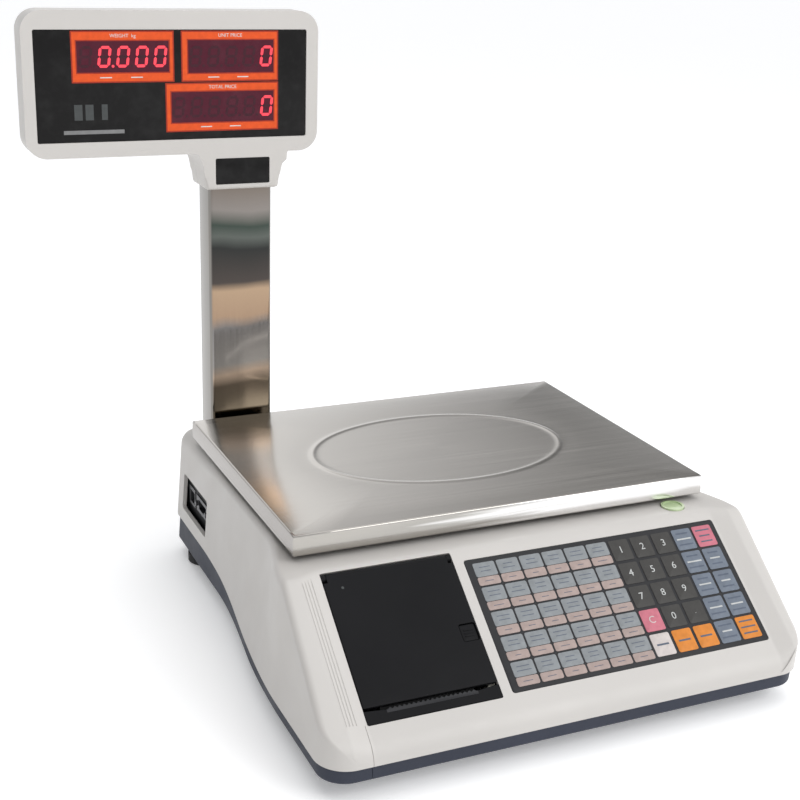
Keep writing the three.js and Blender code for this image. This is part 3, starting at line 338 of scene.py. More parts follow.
BLADE = brushed("blade_steel", (0.035, 0.035, 0.037), 0.42, (300, 12, 300))


def paper_material():
    nodes = new_material("paper")
    turns = nodes.noise(1.0, 2, nodes.stretch((30, 2400, 2400)))
    nodes.bump(turns, 0.2, 0.0002)
    return nodes.set(
        Base_Color=nodes.shades(turns, (0.78, 0.77, 0.73), (0.87, 0.86, 0.82)), Roughness=0.8
    )


def spirit_material():
    nodes = new_material("level_spirit")
    return nodes.set(
        Base_Color=nodes.shades(nodes.noise(90, 2), (0.46, 0.60, 0.32), (0.58, 0.68, 0.44)),
        Roughness=0.08, Coat_Weight=0.6, Coat_Roughness=0.04,
    )


PAPER = paper_material()
SPIRIT = spirit_material()

# ---------------------------------------------------------------- mesh helpers


def link_mesh(name, mesh):
    piece = bpy.data.objects.new(name, mesh)
    bpy.context.scene.collection.objects.link(piece)
    return piece


def piece_from(name, bm, matrix=None):
    """An object at the row frame's origin from a bmesh in body millimetres."""
    mesh = bpy.data.meshes.new(name)
    bmesh.ops.recalc_face_normals(bm, faces=bm.faces)
    bm.to_mesh(mesh)
    bm.free()
    mesh.transform(TO_ROW @ (matrix or Matrix.Identity(4)))
    return link_mesh(name, mesh)


def shade(piece, degrees):
    piece.data.shade_smooth()
    piece.data.set_sharp_from_angle(angle=math.radians(degrees))


def apply_modifiers(piece):
    graph = bpy.context.evaluated_depsgraph_get()
    mesh = bpy.data.meshes.new_from_object(piece.evaluated_get(graph))
    piece.modifiers.clear()
    piece.data = mesh


def carve(piece, tools, operation="DIFFERENCE"):
    """Cuts the tools out of a piece, or joins them to it, and deletes them."""
    for tool in tools:
        modifier = piece.modifiers.new("carve", "BOOLEAN")
        modifier.operation = operation
        modifier.solver = "EXACT"
        modifier.object = tool
    apply_modifiers(piece)
    for tool in tools:
        bpy.data.objects.remove(tool)


def finish_piece(piece, material, body, replaces=(), degrees=32):
    piece.data.materials.clear()
    piece.data.materials.append(material)
    shade(piece, degrees)
    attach(piece, body)
    if replaces:
        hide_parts(*replaces)


def add_piece(name, bm, matrix, material, body, replaces=(), degrees=32):
    finish_piece(piece_from(name, bm, matrix), material, body, replaces, degrees)


def block(x0, x1, y0, y1, z0, z1, radius=0.0):
    bm = bmesh.new()
    size = Vector((x1 - x0, y1 - y0, z1 - z0))
    middle = Vector((x0 + x1, y0 + y1, z0 + z1)) / 2
    bmesh.ops.create_cube(bm, size=1, matrix=Matrix.Translation(middle) @ Matrix.Diagonal((*size, 1)))
    if radius:
        edges = bm.edges[:]
        bmesh.ops.bevel(bm, geom=edges, offset=radius, segments=2, profile=0.5, affect="EDGES")
    return bm


def rod(axis, a, b, radius, start, end, sides=48, edge=0.0):
    """A cylinder along X or Z; a and b are its other two coordinates in X, Y, Z order."""
    bm = bmesh.new()
    bmesh.ops.create_cone(
        bm, cap_ends=True, segments=sides, radius1=radius, radius2=radius, depth=end - start
    )
    if edge:
        rims = [e for e in bm.edges if abs(e.verts[0].co.z - e.verts[1].co.z) < 1e-6]
        bmesh.ops.bevel(bm, geom=rims, offset=edge, segments=2, profile=0.5, affect="EDGES")
    middle = (start + end) / 2
    turn = {
        "X": Matrix.Translation((middle, a, b)) @ Matrix.Rotation(math.pi / 2, 4, "Y"),
        "Z": Matrix.Translation((a, b, middle)),
    }[axis]
    bmesh.ops.transform(bm, matrix=turn, verts=bm.verts)
    return bm


def merge(target, *others):
    """Adds other bmeshes to the first."""
    for other in others:
        mesh = bpy.data.meshes.new("part")
        other.to_mesh(mesh)
        other.free()
        target.from_mesh(mesh)
        bpy.data.meshes.remove(mesh)
    return target


def rounded_outline(u0, u1, v0, v1, radius, steps):
    points = []
    corners = [(u1, v0, -90), (u1, v1, 0), (u0, v1, 90), (u0, v0, 180)]
    for u, v, start in corners:
        centre_u = u - radius if u == u1 else u + radius
        centre_v = v - radius if v == v1 else v + radius
        for i in range(steps + 1):
            angle = math.radians(start + 90 * i / steps)
            points.append((centre_u + radius * math.cos(angle), centre_v + radius * math.sin(angle)))
    return points


def grown(box, step):
    """A flat box with each side moved out by the step."""
    u0, u1, v0, v1 = box
    return (u0 - step, u1 + step, v0 - step, v1 + step)


def loft(layers):
    """A closed skin through loops with the same number of points, capped at both ends."""
    bm = bmesh.new()
    loops = [[bm.verts.new(point) for point in layer] for layer in layers]
    for low, high in zip(loops, loops[1:]):
        for i in range(len(low)):
            j = (i + 1) % len(low)
            bm.faces.new((low[i], low[j], high[j], high[i]))
    bm.faces.new(list(reversed(loops[0])))
    bm.faces.new(loops[-1])
    return bm


def prism(outline, start, end, axis="Z", near=0.0, far=0.0, segments=4):
    """Draws an outline out along an axis, with its rims rounded by `near` and `far`."""
    bm = loft([[(u, v, height) for u, v in outline] for height in (start, end)])
    count = len(outline)
    corners = bm.verts[:]
    for loop, radius in ((corners[:count], near), (corners[count:], far)):
        if radius:
            rim = [bm.edges.get((loop[i], loop[(i + 1) % count])) for i in range(count)]
            bmesh.ops.bevel(
                bm, geom=rim, offset=radius, segments=segments, profile=0.5, affect="EDGES"
            )
    turn = {
        "Z": Matrix.Identity(4),
        "Y": Matrix(((1, 0, 0, 0), (0, 0, 1, 0), (0, 1, 0, 0), (0, 0, 0, 1))),
        "X": Matrix(((0, 0, 1, 0), (1, 0, 0, 0), (0, 1, 0, 0), (0, 0, 0, 1))),
    }[axis]
    bmesh.ops.transform(bm, matrix=turn, verts=bm.verts)
    return bm


def cutter(bm, matrix=None):
    return piece_from("cutter", bm, matrix)


# ---------------------------------------------------------------- body shape

FRONT, BACK, DECK_Z = -221.5, 150.0, 100.0
SEAM_FRONT, SEAM_BACK = 22.0, 32.5
TRAY_LOW, WALL, COLUMN_WALL = 12.0, 3.0, 1.2
SEAM_X = (-141.25, -140.9)
NOSE_LENGTH, NOSE_DROP, CREST_SOFTNESS = 7.0, 6.2, 3.0
FRONT_CORNER, BACK_CORNER, BACK_EDGE = 20.0, 16.0, 12.0
# Half widths: front low, back low, front high, back high.
HALF_WIDTH = {"left": (170.5, 156.5, 165.0, 151.0), "right": (164.5, 156.5, 168.5, 151.0)}
# Places on the console are x, then t, which runs up its slope from the foot.
KEYPAD_BOX = (-44.8, 143.4, 1.3, 92.0)
DOOR_X0, DOOR_X1 = -139.1, -52.2
COLUMN_LOW, COLUMN_HIGH = box_mm("column_tube")
COLUMN_BOX = (COLUMN_LOW.x, COLUMN_HIGH.x, COLUMN_LOW.y, COLUMN_HIGH.y)
CHEEK_RISE = 3.5
CHEEK_LEFT, CHEEK_LEFT_FOOT, CHEEK_RIGHT, CHEEK_RIGHT_FOOT = -153.0, -140.0, 157.0, 145.0


def smoothstep(low, high, value):
    t = min(1.0, max(0.0, (value - low) / (high - low)))
    return t * t * (3 - 2 * t)


def half_width(side, y, z):
    front_low, back_low, front_high, back_high = HALF_WIDTH[side]
    low = front_low + (back_low - front_low) * smoothstep(-140, 35, y)
    high = front_high + (back_high - front_high) * smoothstep(-130, -60, y)
    return low + (high - low) * (z - SEAM_FRONT) / (DECK_Z - SEAM_FRONT)


def seam_z(y):
    """The seam between housing and tray, which rises towards the back."""
    return SEAM_FRONT + (SEAM_BACK - SEAM_FRONT) * smoothstep(-60, 70, y)


def outline_half(side, y, z, inset):
    """Half the width of the body's plan outline at y, corners rounded, pulled in by inset."""
    width = half_width(side, y, z) - inset
    for edge, radius, sign in ((FRONT, FRONT_CORNER, 1), (BACK, BACK_CORNER, -1)):
        radius = max(0.5, radius - inset)
        into = radius - (y - (edge + sign * inset)) * sign
        if into > 0:
            width -= radius - math.sqrt(max(0.0, radius * radius - into * into))
    return width


def smooth_min(a, b, softness):
    mix = min(1.0, max(0.0, 0.5 + 0.5 * (b - a) / softness))
    return b + (a - b) * mix - softness * mix * (1 - mix)


def top_height(x, y, inset=0.0, cheeks=True):
    plane = SLOPE_FOOT[1] + (y - SLOPE_FOOT[0]) * math.tan(SLOPE_ANGLE) - inset / math.cos(SLOPE_ANGLE)
    rise = 0.0
    if cheeks:
        rise = max(
            (CHEEK_LEFT_FOOT - x) / (CHEEK_LEFT_FOOT - CHEEK_LEFT),
            (x - CHEEK_RIGHT_FOOT) / (CHEEK_RIGHT - CHEEK_RIGHT_FOOT),
        )
        rise = min(1.0, max(0.0, rise)) * CHEEK_RISE / math.cos(SLOPE_ANGLE)
    height = smooth_min(plane + rise, DECK_Z - inset, CREST_SOFTNESS)
    over = (y - (BACK - inset - BACK_EDGE)) / BACK_EDGE
    if over > 0:
        height -= BACK_EDGE * (1 - math.sqrt(max(0.0, 1 - over))) ** 2
    into = (FRONT + inset + NOSE_LENGTH - y) / NOSE_LENGTH
    if into > 0:
        height -= NOSE_DROP * (1 - math.sqrt(max(0.0, 1 - min(1.0, into) ** 2)))
    return height


def station_list(inset, fine):
    """Places along Y, close together where the outline or the profile curves."""
    front, back = FRONT + inset, BACK - inset
    stations = []
    steps = 14 if fine else 6
    for i in range(steps + 1):
        stations.append(front + (FRONT_CORNER - inset) * (1 - math.cos(math.pi / 2 * i / steps)))
    y = stations[-1]
    pitch = 5.0 if fine else 16.0
    crest = SLOPE_FOOT[0] + (DECK_Z - SLOPE_FOOT[1]) / math.tan(SLOPE_ANGLE)
    end = back - (BACK_CORNER - inset)
    while y + pitch < end:
        near_crest = fine and abs(y - crest) < 14
        y += 1.2 if near_crest else pitch
        stations.append(y)
    for i in range(steps + 1):
        stations.append(end + (back - end) * math.sin(math.pi / 2 * i / steps))
    return sorted(set(round(s, 4) for s in stations))


def column_list(fine):
    if not fine:
        return [-120, -60, 0, 60, 120]
    columns = set()
    for edge in (CHEEK_LEFT, CHEEK_LEFT_FOOT, CHEEK_RIGHT_FOOT, CHEEK_RIGHT):
        columns.update((edge - 1.2, edge, edge + 1.2))
    columns.update(range(-130, 141, 15))
    columns.update((-150.5, -147, -143.5, 148, 151, 154))
    return sorted(columns)


def body_solid(inset, bottom_at, edge_radius, fine, cheeks=True):
    """The closed body: side walls, a rounded shoulder, and a top that follows deck and console."""
    columns = column_list(fine)
    arc_steps = 6 if fine else 1

    def side_points(side, y):
        """One side's points at a station, from the bottom of the wall up over the shoulder."""
        sign = -1 if side == "left" else 1
        bottom = bottom_at(y)
        radius = edge_radius * (0.25 + 0.75 * smoothstep(FRONT + 2, FRONT + 22, y))
        if fine:
            radius += 5.0 * smoothstep(20, 110, y)
        top = top_height(sign * outline_half(side, y, DECK_Z, inset), y, inset, cheeks)
        z_wall = max(bottom + 0.2, top - radius)
        points = []
        for level in (0.0, 0.34, 0.67, 1.0):
            z = bottom + (z_wall - bottom) * level
            points.append((sign * outline_half(side, y, z, inset), y, z))
        for i in range(1, arc_steps + 1):
            angle = math.pi / 2 * i / arc_steps
            z = max(bottom + 0.2, top - radius * (1 - math.sin(angle)))
            half = outline_half(side, y, z, inset) - radius * (1 - math.cos(angle))
            points.append((sign * max(0.0, half), y, z))
        return points

    layers = []
    for y in station_list(inset, fine):
        left, right = side_points("left", y), side_points("right", y)
        across = []
        for x in columns:
            x = min(right[-1][0], max(left[-1][0], x))
            across.append((x, y, max(bottom_at(y) + 0.2, top_height(x, y, inset, cheeks))))
        layers.append(left + across + right[::-1])
    bm = loft(layers)
    bmesh.ops.remove_doubles(bm, verts=bm.verts, dist=0.01)
    bmesh.ops.dissolve_degenerate(bm, dist=0.01, edges=bm.edges)
    return bm


def nose_groove(x0, x1):
    """A thin slab that follows the top of the body from the front wall to the console's foot."""
    places = [FRONT + step for step in (0, 0.1, 0.4, 1, 2, 3.5, 5.5, 8, 11, 14.5)]
    inner = [(y + 0.35, top_height(x0, y) - 0.45) for y in places]
    outer = [(y - 3, top_height(x0, y) + 4) for y in places]
    return prism(inner + outer[::-1], x0, x1, "X")


def make_housing():
    housing = piece_from("top_housing_shell", body_solid(0, lambda y: seam_z(y) + 0.3, 4.5, True))
    deck = (DECK_Z - 8, DECK_Z + 4)
    level = middle_mm("bubble_level")
    low, high = box_mm("side_port_plate")
    ports = (low.y, high.y, low.z, high.z)
    openings = {
        "hollow": (body_solid(WALL, lambda y: SEAM_FRONT - 2, 0.5, False, cheeks=False), None),
        "door": (prism(rounded_outline(DOOR_X0 - 0.4, DOOR_X1 + 0.4, -0.1, 99.5, 1.2, 4), -8, 8), SLOPE),
        "keypad recess": (prism(rounded_outline(*grown(KEYPAD_BOX, 0.3), 2.0, 4), -1.2, 6), SLOPE),
        "keypad board": (block(-39.8, 138.4, 5.3, 88, -8, 0), SLOPE),
        "seam over the nose": (nose_groove(*SEAM_X), None),
        "seam down the front": (block(*SEAM_X, FRONT - 1, FRONT + 0.5, 12, 24), None),
        "load cell block": (block(36, 79, -23, 23, *deck), None),
        "column": (prism(rounded_outline(*grown(COLUMN_BOX, 0.4), 3.2, 5), *deck), None),
        "bubble level": (rod("Z", level.x, level.y, 8.3, *deck), None),
        "side ports": (prism(rounded_outline(*grown(ports, -3), 2.5, 4), -170, -140, "X"), None),
        "power inlet": (block(50, 78, 140, 160, 44, 64), None),
        "power switch": (block(101, 121, 140, 160, 46, 62), None),
    }
    for i in range(4):
        x = -146.6 - 2.2 * i
        rise = CHEEK_RISE * (CHEEK_LEFT_FOOT - x) / (CHEEK_LEFT_FOOT - CHEEK_LEFT)
        openings[f"rib {i}"] = (block(x - 0.45, x + 0.45, 1, 98, rise - 0.35, 8), SLOPE)
    carve(housing, [cutter(bm, matrix) for bm, matrix in openings.values()])
    finish_piece(housing, WHITE, "base", ["top_housing"], 28)


make_housing()


def make_tray():
    """The slate base: a shallow pan with a rolled lower edge and holes for its feet and screws."""
    layers = []
    for level, inset in (
        (0.0, 4.2), (0.15, 3.4), (0.6, 2.6), (1.4, 2.1), (2.5, 2.0), (9.4, 2.0), (10.0, 2.4)
    ):
        right, left = [], []
        for y in station_list(inset, True):
            raised = seam_z(y) - SEAM_FRONT if level > 5 else 0.0
            z = TRAY_LOW + level + raised
            right.append((outline_half("right", y, z, inset), y, z))
            left.append((-outline_half("left", y, z, inset), y, z))
        layers.append(right + left[::-1])
    shell = loft(layers)
    bmesh.ops.remove_doubles(shell, verts=shell.verts, dist=0.005)
    tray = piece_from("base_tray_shell", shell)
    tools = [
        cutter(body_solid(6, lambda y: 15, 0.5, False, cheeks=False)),
        cutter(block(*SEAM_X, FRONT - 1, FRONT + 2.5, 8, 40)),
    ]
    for corner in CORNERS:
        for part, radius in (("levelling_foot_", 4.3), ("housing_screw_", 4.0)):
            middle = middle_mm(part + corner)
            tools.append(cutter(rod("Z", middle.x, middle.y, radius, 8, 20)))
    carve(tray, tools)
    finish_piece(tray, SLATE, "base", ["base_tray"], 28)


make_tray()

# ---------------------------------------------------------------- pan


def make_pan():
    """A sheet with an oval rolled groove, folded down all round into a hemmed skirt."""
    half_x, half_y, bottom, sheet, fold = 150.0, 110.0, 104.0, 1.0, 1.6
    ring_x, ring_y, groove_width, groove_height = 93.0, 63.5, 4.4, 0.5
    top = PAN_TOP - 0.05
    corner_x, corner_y = half_x - fold, half_y - fold
    count = 96
    angles = [2 * math.pi * i / count for i in range(count)]
    steps = [0.005, 0.01, 0.016, 0.023, 0.035, 0.05]
    inside = [0.35, 0.62, 0.78, 0.86, 0.9, 0.93] + [1 - step for step in reversed(steps)]
    outside = [1.0] + [1 + step for step in steps] + [1.08, 1.14]
    layers = []
    for scale in inside + outside:
        layer = []
        for angle in angles:
            x, y = ring_x * math.cos(angle), ring_y * math.sin(angle)
            distance = (scale - 1) * math.hypot(x, y) / (groove_width / 2)
            layer.append((x * scale, y * scale, top + groove_height * math.exp(-(distance**2))))
        layers.append(layer)
    edge = []
    for angle in angles:
        x, y = ring_x * math.cos(angle), ring_y * math.sin(angle)
        reach = min(corner_x / max(1e-6, abs(x)), corner_y / max(1e-6, abs(y)))
        edge.append((x * reach, y * reach))
    first = math.atan2(corner_y / ring_y, corner_x / ring_x)
    for angle in (first, math.pi - first, math.pi + first, -first):
        corner = (math.copysign(corner_x, math.cos(angle)), math.copysign(corner_y, math.sin(angle)))
        edge[round(angle / (2 * math.pi) * count) % count] = corner
    layers.append([(x, y, top) for x, y in edge])
    profile = []
    for i in range(1, 5):
        angle = math.pi / 2 * i / 4
        profile.append((fold * math.sin(angle), top - fold * (1 - math.cos(angle))))
    profile += [
        (fold, bottom + 1.6), (fold - 0.15, bottom + 0.5), (fold - 0.6, bottom),
        (fold - 1.6, bottom + 0.1), (fold - 2.0, bottom + 0.8), (fold - sheet - 0.1, bottom + 2),
        (fold - sheet, PAN_TOP - sheet + 0.05),
    ]
    for out, z in profile:
        layer = []
        for x, y in edge:
            step_x = math.copysign(out, x) if abs(abs(x) - corner_x) < 0.01 else 0
            step_y = math.copysign(out, y) if abs(abs(y) - corner_y) < 0.01 else 0
            layer.append((x + step_x, y + step_y, z))
        layers.append(layer)
    add_piece("pan_sheet", loft(layers), None, PAN_STEEL, "pan", ["weighing_pan"], 50)


make_pan()

# ---------------------------------------------------------------- column


def make_column():
    outer = rounded_outline(*COLUMN_BOX, 3.0, 6)
    inner = rounded_outline(*grown(COLUMN_BOX, -COLUMN_WALL), 1.8, 5)
    tube = piece_from("column_tube_polished", prism(outer, COLUMN_LOW.z, COLUMN_HIGH.z))
    cable_slot = block(-117, -101, COLUMN_LOW.y - 1, COLUMN_LOW.y + 4, 24, 42)
    carve(tube, [cutter(prism(inner, 0, 400)), cutter(cable_slot)])
    finish_piece(tube, COLUMN_STEEL, "base", ["column_tube"])


make_column()

# ---------------------------------------------------------------- display head

HEAD_X0, HEAD_X1, HEAD_Z0, HEAD_Z1 = -260.0, -53.5, 315.0, 412.0
HEAD_FRONT, HEAD_SPLIT, HEAD_BACK = 111.0, 134.0, 150.0
HEAD_CORNER = 14.0
WINDOW_BOX = (-252.3, -62.2, 325.4, 399.6)
REAR_WINDOW_BOX = (-240.0, -74.0, 334.0, 393.0)
NECK_X0, NECK_X1 = -140.0, -78.0
NECK_PANEL_BOX = (-129.2, -89.8, 293, 311)


def arc_points(centre, radius, start, end, steps):
    points = []
    for i in range(steps + 1):
        angle = math.radians(start + (end - start) * i / steps)
        points.append((centre[0] + radius * math.cos(angle), centre[1] + radius * math.sin(angle)))
    return points


def head_outline(inset=0.0, steps=10):
    """The head's face: a rounded rectangle."""
    sides = (HEAD_X0 + inset, HEAD_X1 - inset, HEAD_Z0 + inset, HEAD_Z1 - inset)
    return rounded_outline(*sides, HEAD_CORNER - inset, steps)


def neck_outline():
    """The tapering neck under the head, with a small fillet where it meets the head."""
    side = [(-3.0, 14.0), (-3.0, 3.0), (-2.2, 0.6), (-1.0, -1.8), (0.3, -5.0), (1.3, -9.0), (2.3, -16.0)]
    side += [(3.0, -24.3), (3.5, -25.5), (4.8, -26.0)]
    left = [(NECK_X0 + u * 1.25, HEAD_Z0 + v) for u, v in side]
    right = [(NECK_X1 - u * 1.6, HEAD_Z0 + v) for u, v in side]
    return left + right[::-1]


def column_channel():
    return cutter(block(*grown(COLUMN_BOX, 0.5), 270, COLUMN_HIGH.z + 0.5))


def make_front_bezel():
    face = prism(head_outline(), HEAD_FRONT, HEAD_SPLIT, "Y", near=4.2, far=0.6, segments=6)
    bezel = piece_from("display_bezel", face)
    neck = piece_from("neck", prism(neck_outline(), HEAD_FRONT, HEAD_SPLIT, "Y", near=2.0))
    carve(bezel, [neck], "UNION")
    panel_outline = rounded_outline(*grown(NECK_PANEL_BOX, 0.3), 1.0, 4)
    carve(bezel, [
        cutter(prism(head_outline(2.5, 8), HEAD_FRONT + 3, 140, "Y")),
        cutter(prism(rounded_outline(*WINDOW_BOX, 1.2, 4), 100, 120, "Y")),
        cutter(prism(panel_outline, 105, HEAD_FRONT + 1.6, "Y")),
        column_channel(),
    ])
    finish_piece(bezel, WHITE, "base", ["display_front_bezel"], 30)


def make_rear_cover():
    """The rear half of the head, pulled in towards its back face in a shallow curve."""
    outline = head_outline()
    half_x, half_z = (HEAD_X1 - HEAD_X0) / 2, (HEAD_Z1 - HEAD_Z0) / 2
    middle_x, middle_z = HEAD_X0 + half_x, HEAD_Z0 + half_z

    def layer(y, inset=0.0):
        depth = min(1.0, max(0.0, (y - HEAD_SPLIT) / (HEAD_BACK - HEAD_SPLIT)))
        pull = 15 * depth**1.2 + inset
        points = []
        for x, z in outline:
            out_x, out_z = x - middle_x, z - middle_z
            points.append((x - out_x * pull / half_x, y, z - out_z * pull / half_z))
        return points

    start = HEAD_SPLIT + 0.3
    heights = [start + (HEAD_BACK - 1.2 - start) * i / 8 for i in range(1, 9)]
    layers = [layer(start, 0.5), layer(start + 0.5)] + [layer(y) for y in heights]
    layers += [layer(HEAD_BACK - 0.5, 0.2), layer(HEAD_BACK - 0.1, 0.8), layer(HEAD_BACK, 1.6)]
    cover = piece_from("display_back", loft(layers))
    neck = piece_from("neck_back", prism(neck_outline(), start, 149, "Y", far=3.0))
    carve(cover, [neck], "UNION")
    hollow = loft([layer(y, 2.6) for y in (110, 134, 137, 140, 143.5, HEAD_BACK - 2.5)])
    opening = prism(rounded_outline(*REAR_WINDOW_BOX, 1.2, 4), 140, 160, "Y")
    carve(cover, [cutter(hollow), column_channel(), cutter(opening)])
    finish_piece(cover, WHITE, "base", ["display_rear_cover"], 30)


make_front_bezel()
make_rear_cover()

# ---------------------------------------------------------------- read-outs

DIGIT_PITCH = 12.7
DIGIT_HEIGHT = 14.2
FRAME_ORANGE = ink("frame_orange", (0.70, 0.085, 0.014), 0.4)
FRAME_EDGE = ink("frame_edge", (0.34, 0.030, 0.012), 0.4)
FRAME_SHADE = gloss("readout_filter", (0.075, 0.010, 0.022), 0.14)
LIT = glowing("lit_segment", (1.0, 0.045, 0.075), 1.1, (0.3, 0.02, 0.03))
UNLIT = ink("unlit_segment", (0.045, 0.008, 0.016), 0.4)
PRINT_WHITE = ink("print_white", (0.62, 0.60, 0.58), 0.5)
PRINT_GREY = ink("print_grey", (0.06, 0.065, 0.065), 0.5)
PRINT_BAR = ink("print_bar", (0.20, 0.20, 0.20), 0.5)

READOUTS = [
    # name, outer frame (x0, x1, z0, z1), inner window, digit places, shown characters
    ("weight", (-227.8, -157.9, 364.8, 398.8), (-224.0, -161.5, 371.6, 392.1), 5, " 0.000"),
    ("unit_price", (-152.9, -83.2, 364.7, 398.8), (-148.0, -86.7, 370.6, 392.5), 5, "    0"),
    ("total_price", (-164.4, -83.1, 330.7, 364.0), (-160.3, -86.6, 337.0, 357.8), 6, "     0"),
]

SEGMENTS = {
    "0": "abcdef", "1": "bc", "2": "abged", "3": "abgcd", "4": "fgbc",
    "5": "afgcd", "6": "afgedc", "7": "abc", "8": "abcdefg", "9": "abfgcd", " ": "",
}


def segment_outline(name, width, height, thick):
    """A seven-segment bar as a pointed hexagon; digits lean, so x shifts with height."""
    t = thick / 2
    gap = 0.25
    half_w, half_h = width / 2 - t, height / 2 - t
    level = {"a": half_h, "g": 0, "d": -half_h}
    upright = {"f": (-half_w, 0), "b": (half_w, 0), "e": (-half_w, -half_h), "c": (half_w, -half_h)}
    if name in level:
        z, x0, x1 = level[name], gap - half_w, half_w - gap
        points = [(x0, z), (x0 + t, z - t), (x1 - t, z - t), (x1, z), (x1 - t, z + t), (x0 + t, z + t)]
    else:
        x, foot = upright[name]
        z0, z1 = foot + gap, foot + half_h - gap
        points = [(x, z0), (x + t, z0 + t), (x + t, z1 - t), (x, z1), (x - t, z1 - t), (x - t, z0 + t)]
    lean = math.tan(math.radians(7))
    return [(x + z * lean, z) for x, z in points]


def frame_shape(outer, inner, start, end):
    """A flat rectangular frame: four mitred bars."""
    around = [
        [(x0, z0), (x1, z0), (x1, z1), (x0, z1)] for x0, x1, z0, z1 in (outer, inner)
    ]
    bm = bmesh.new()
    for i in range(4):
        j = (i + 1) % 4
        merge(bm, prism([around[0][i], around[0][j], around[1][j], around[1][i]], start, end))
    bmesh.ops.remove_doubles(bm, verts=bm.verts, dist=0.001)
    return bm


def lettering(text, height, centre, depth=0.08):
    """Text as a bmesh in its own X, Y plane, centred on a point, as high as given."""
    curve = bpy.data.curves.new("lettering", "FONT")
    curve.body = text
    curve.size = height * 1.38
    curve.align_x = "CENTER"
    curve.align_y = "CENTER"
    curve.extrude = depth / 2
    curve.resolution_u = 3
    holder = bpy.data.objects.new("lettering", curve)
    bpy.context.scene.collection.objects.link(holder)
    graph = bpy.context.evaluated_depsgraph_get()
    mesh = bpy.data.meshes.new_from_object(holder.evaluated_get(graph))
    mesh.transform(Matrix.Translation((*centre, 0)))
    bm = bmesh.new()
    bm.from_mesh(mesh)
    bpy.data.objects.remove(holder)
    bpy.data.meshes.remove(mesh)
    return bm


class Sheet:
    """Printed layers on a flat face: one bmesh for each ink, kept until they are placed."""

    def __init__(self, name, matrix, body, slot):
        self.name, self.matrix, self.body, self.slot = name, matrix, body, slot
        self.layers = {}

    def add(self, material, bm, lift=0.0):
        bmesh.ops.transform(bm, matrix=Matrix.Translation((0, 0, lift)), verts=bm.verts)
        if material in self.layers:
            merge(self.layers[material], bm)
        else:
            self.layers[material] = bm

    def bar(self, material, x, y, half_x, half_y, low, high):
        self.add(material, block(x - half_x, x + half_x, y - half_y, y + half_y, low, high))

    def place(self):
        for material, bm in self.layers.items():
            name = f"{self.name}_{material.name}"
            add_piece(name, bm, self.matrix, material, self.body)


# The sheet's X runs to the reader's right, its Y up, and its Z out of the face.
FACE_DEPTH, REAR_FACE_DEPTH = 0.6, 0.4
FRONT_FACE = Matrix(((1, 0, 0, 0), (0, 0, -1, HEAD_FRONT + FACE_DEPTH), (0, 1, 0, 0), (0, 0, 0, 1)))
REAR_FACE = Matrix((
    (-1, 0, 0, HEAD_X0 + HEAD_X1), (0, 0, 1, HEAD_BACK - REAR_FACE_DEPTH), (0, 1, 0, 0), (0, 0, 0, 1)
))
READOUT_MIDDLE = 364.8
CAPTIONS = {"weight": "WEIGHT  kg", "unit_price": "UNIT PRICE", "total_price": "TOTAL PRICE"}


def print_digit(sheet, character, centre, dotted):
    """One digit's seven segments and its point, lit or unlit."""
    for segment in "abcdefg":
        lit = segment in SEGMENTS[character]
        outline = segment_outline(segment, 8.6, DIGIT_HEIGHT, 1.9)
        outline = [(x + centre[0], z + centre[1]) for x, z in outline]
        sheet.add(LIT if lit else UNLIT, prism(outline, 0.05, 0.14 if lit else 0.08))
    dot = arc_points((centre[0] + 5.6, centre[1] - DIGIT_HEIGHT / 2 + 0.9), 0.95, 0, 345, 12)
    sheet.add(LIT if dotted else UNLIT, prism(dot, 0.05, 0.14 if dotted else 0.08))


def print_window(name, matrix, squeeze=1.0):
    """Prints the three read-outs; `squeeze` lowers them towards the window's middle height."""
    sheet = Sheet(name, matrix, "base", "smoked_window")
    middle = READOUT_MIDDLE - 1.2 * (1 - squeeze)

    def squeezed(box):
        x0, x1, z0, z1 = box
        return (x0, x1, middle + (z0 - READOUT_MIDDLE) * squeeze, middle + (z1 - READOUT_MIDDLE) * squeeze)

    for key, outer, inner, places, shown in READOUTS:
        outer, inner = squeezed(outer), squeezed(inner)
        x0, x1, z0, z1 = inner
        sheet.add(FRAME_ORANGE, frame_shape(outer, inner, 0.0, 0.12))
        sheet.add(FRAME_EDGE, frame_shape(outer, grown(outer, -0.9), 0.10, 0.16))
        sheet.add(FRAME_EDGE, frame_shape(grown(inner, 0.8), inner, 0.10, 0.16))
        sheet.add(FRAME_SHADE, prism([(x0, z0), (x1, z0), (x1, z1), (x0, z1)], 0.0, 0.05))
        frame_x = (outer[0] + outer[1]) / 2
        caption = lettering(CAPTIONS[key], 2.4, (frame_x, (z1 + outer[3]) / 2))
        sheet.add(PRINT_WHITE, caption, 0.16)
        for offset in (-12, 9):
            sheet.bar(PRINT_WHITE, frame_x + offset, (z0 + outer[2]) / 2, 4, 0.35, 0.12, 0.2)
        left = (x0 + x1 - places * DIGIT_PITCH) / 2
        for index, character in enumerate(shown.replace(".", "").rjust(places)):
            centre = (left + (index + 0.5) * DIGIT_PITCH, (z0 + z1) / 2)
            print_digit(sheet, character, centre, "." in shown and index == 1)
    sheet.place()


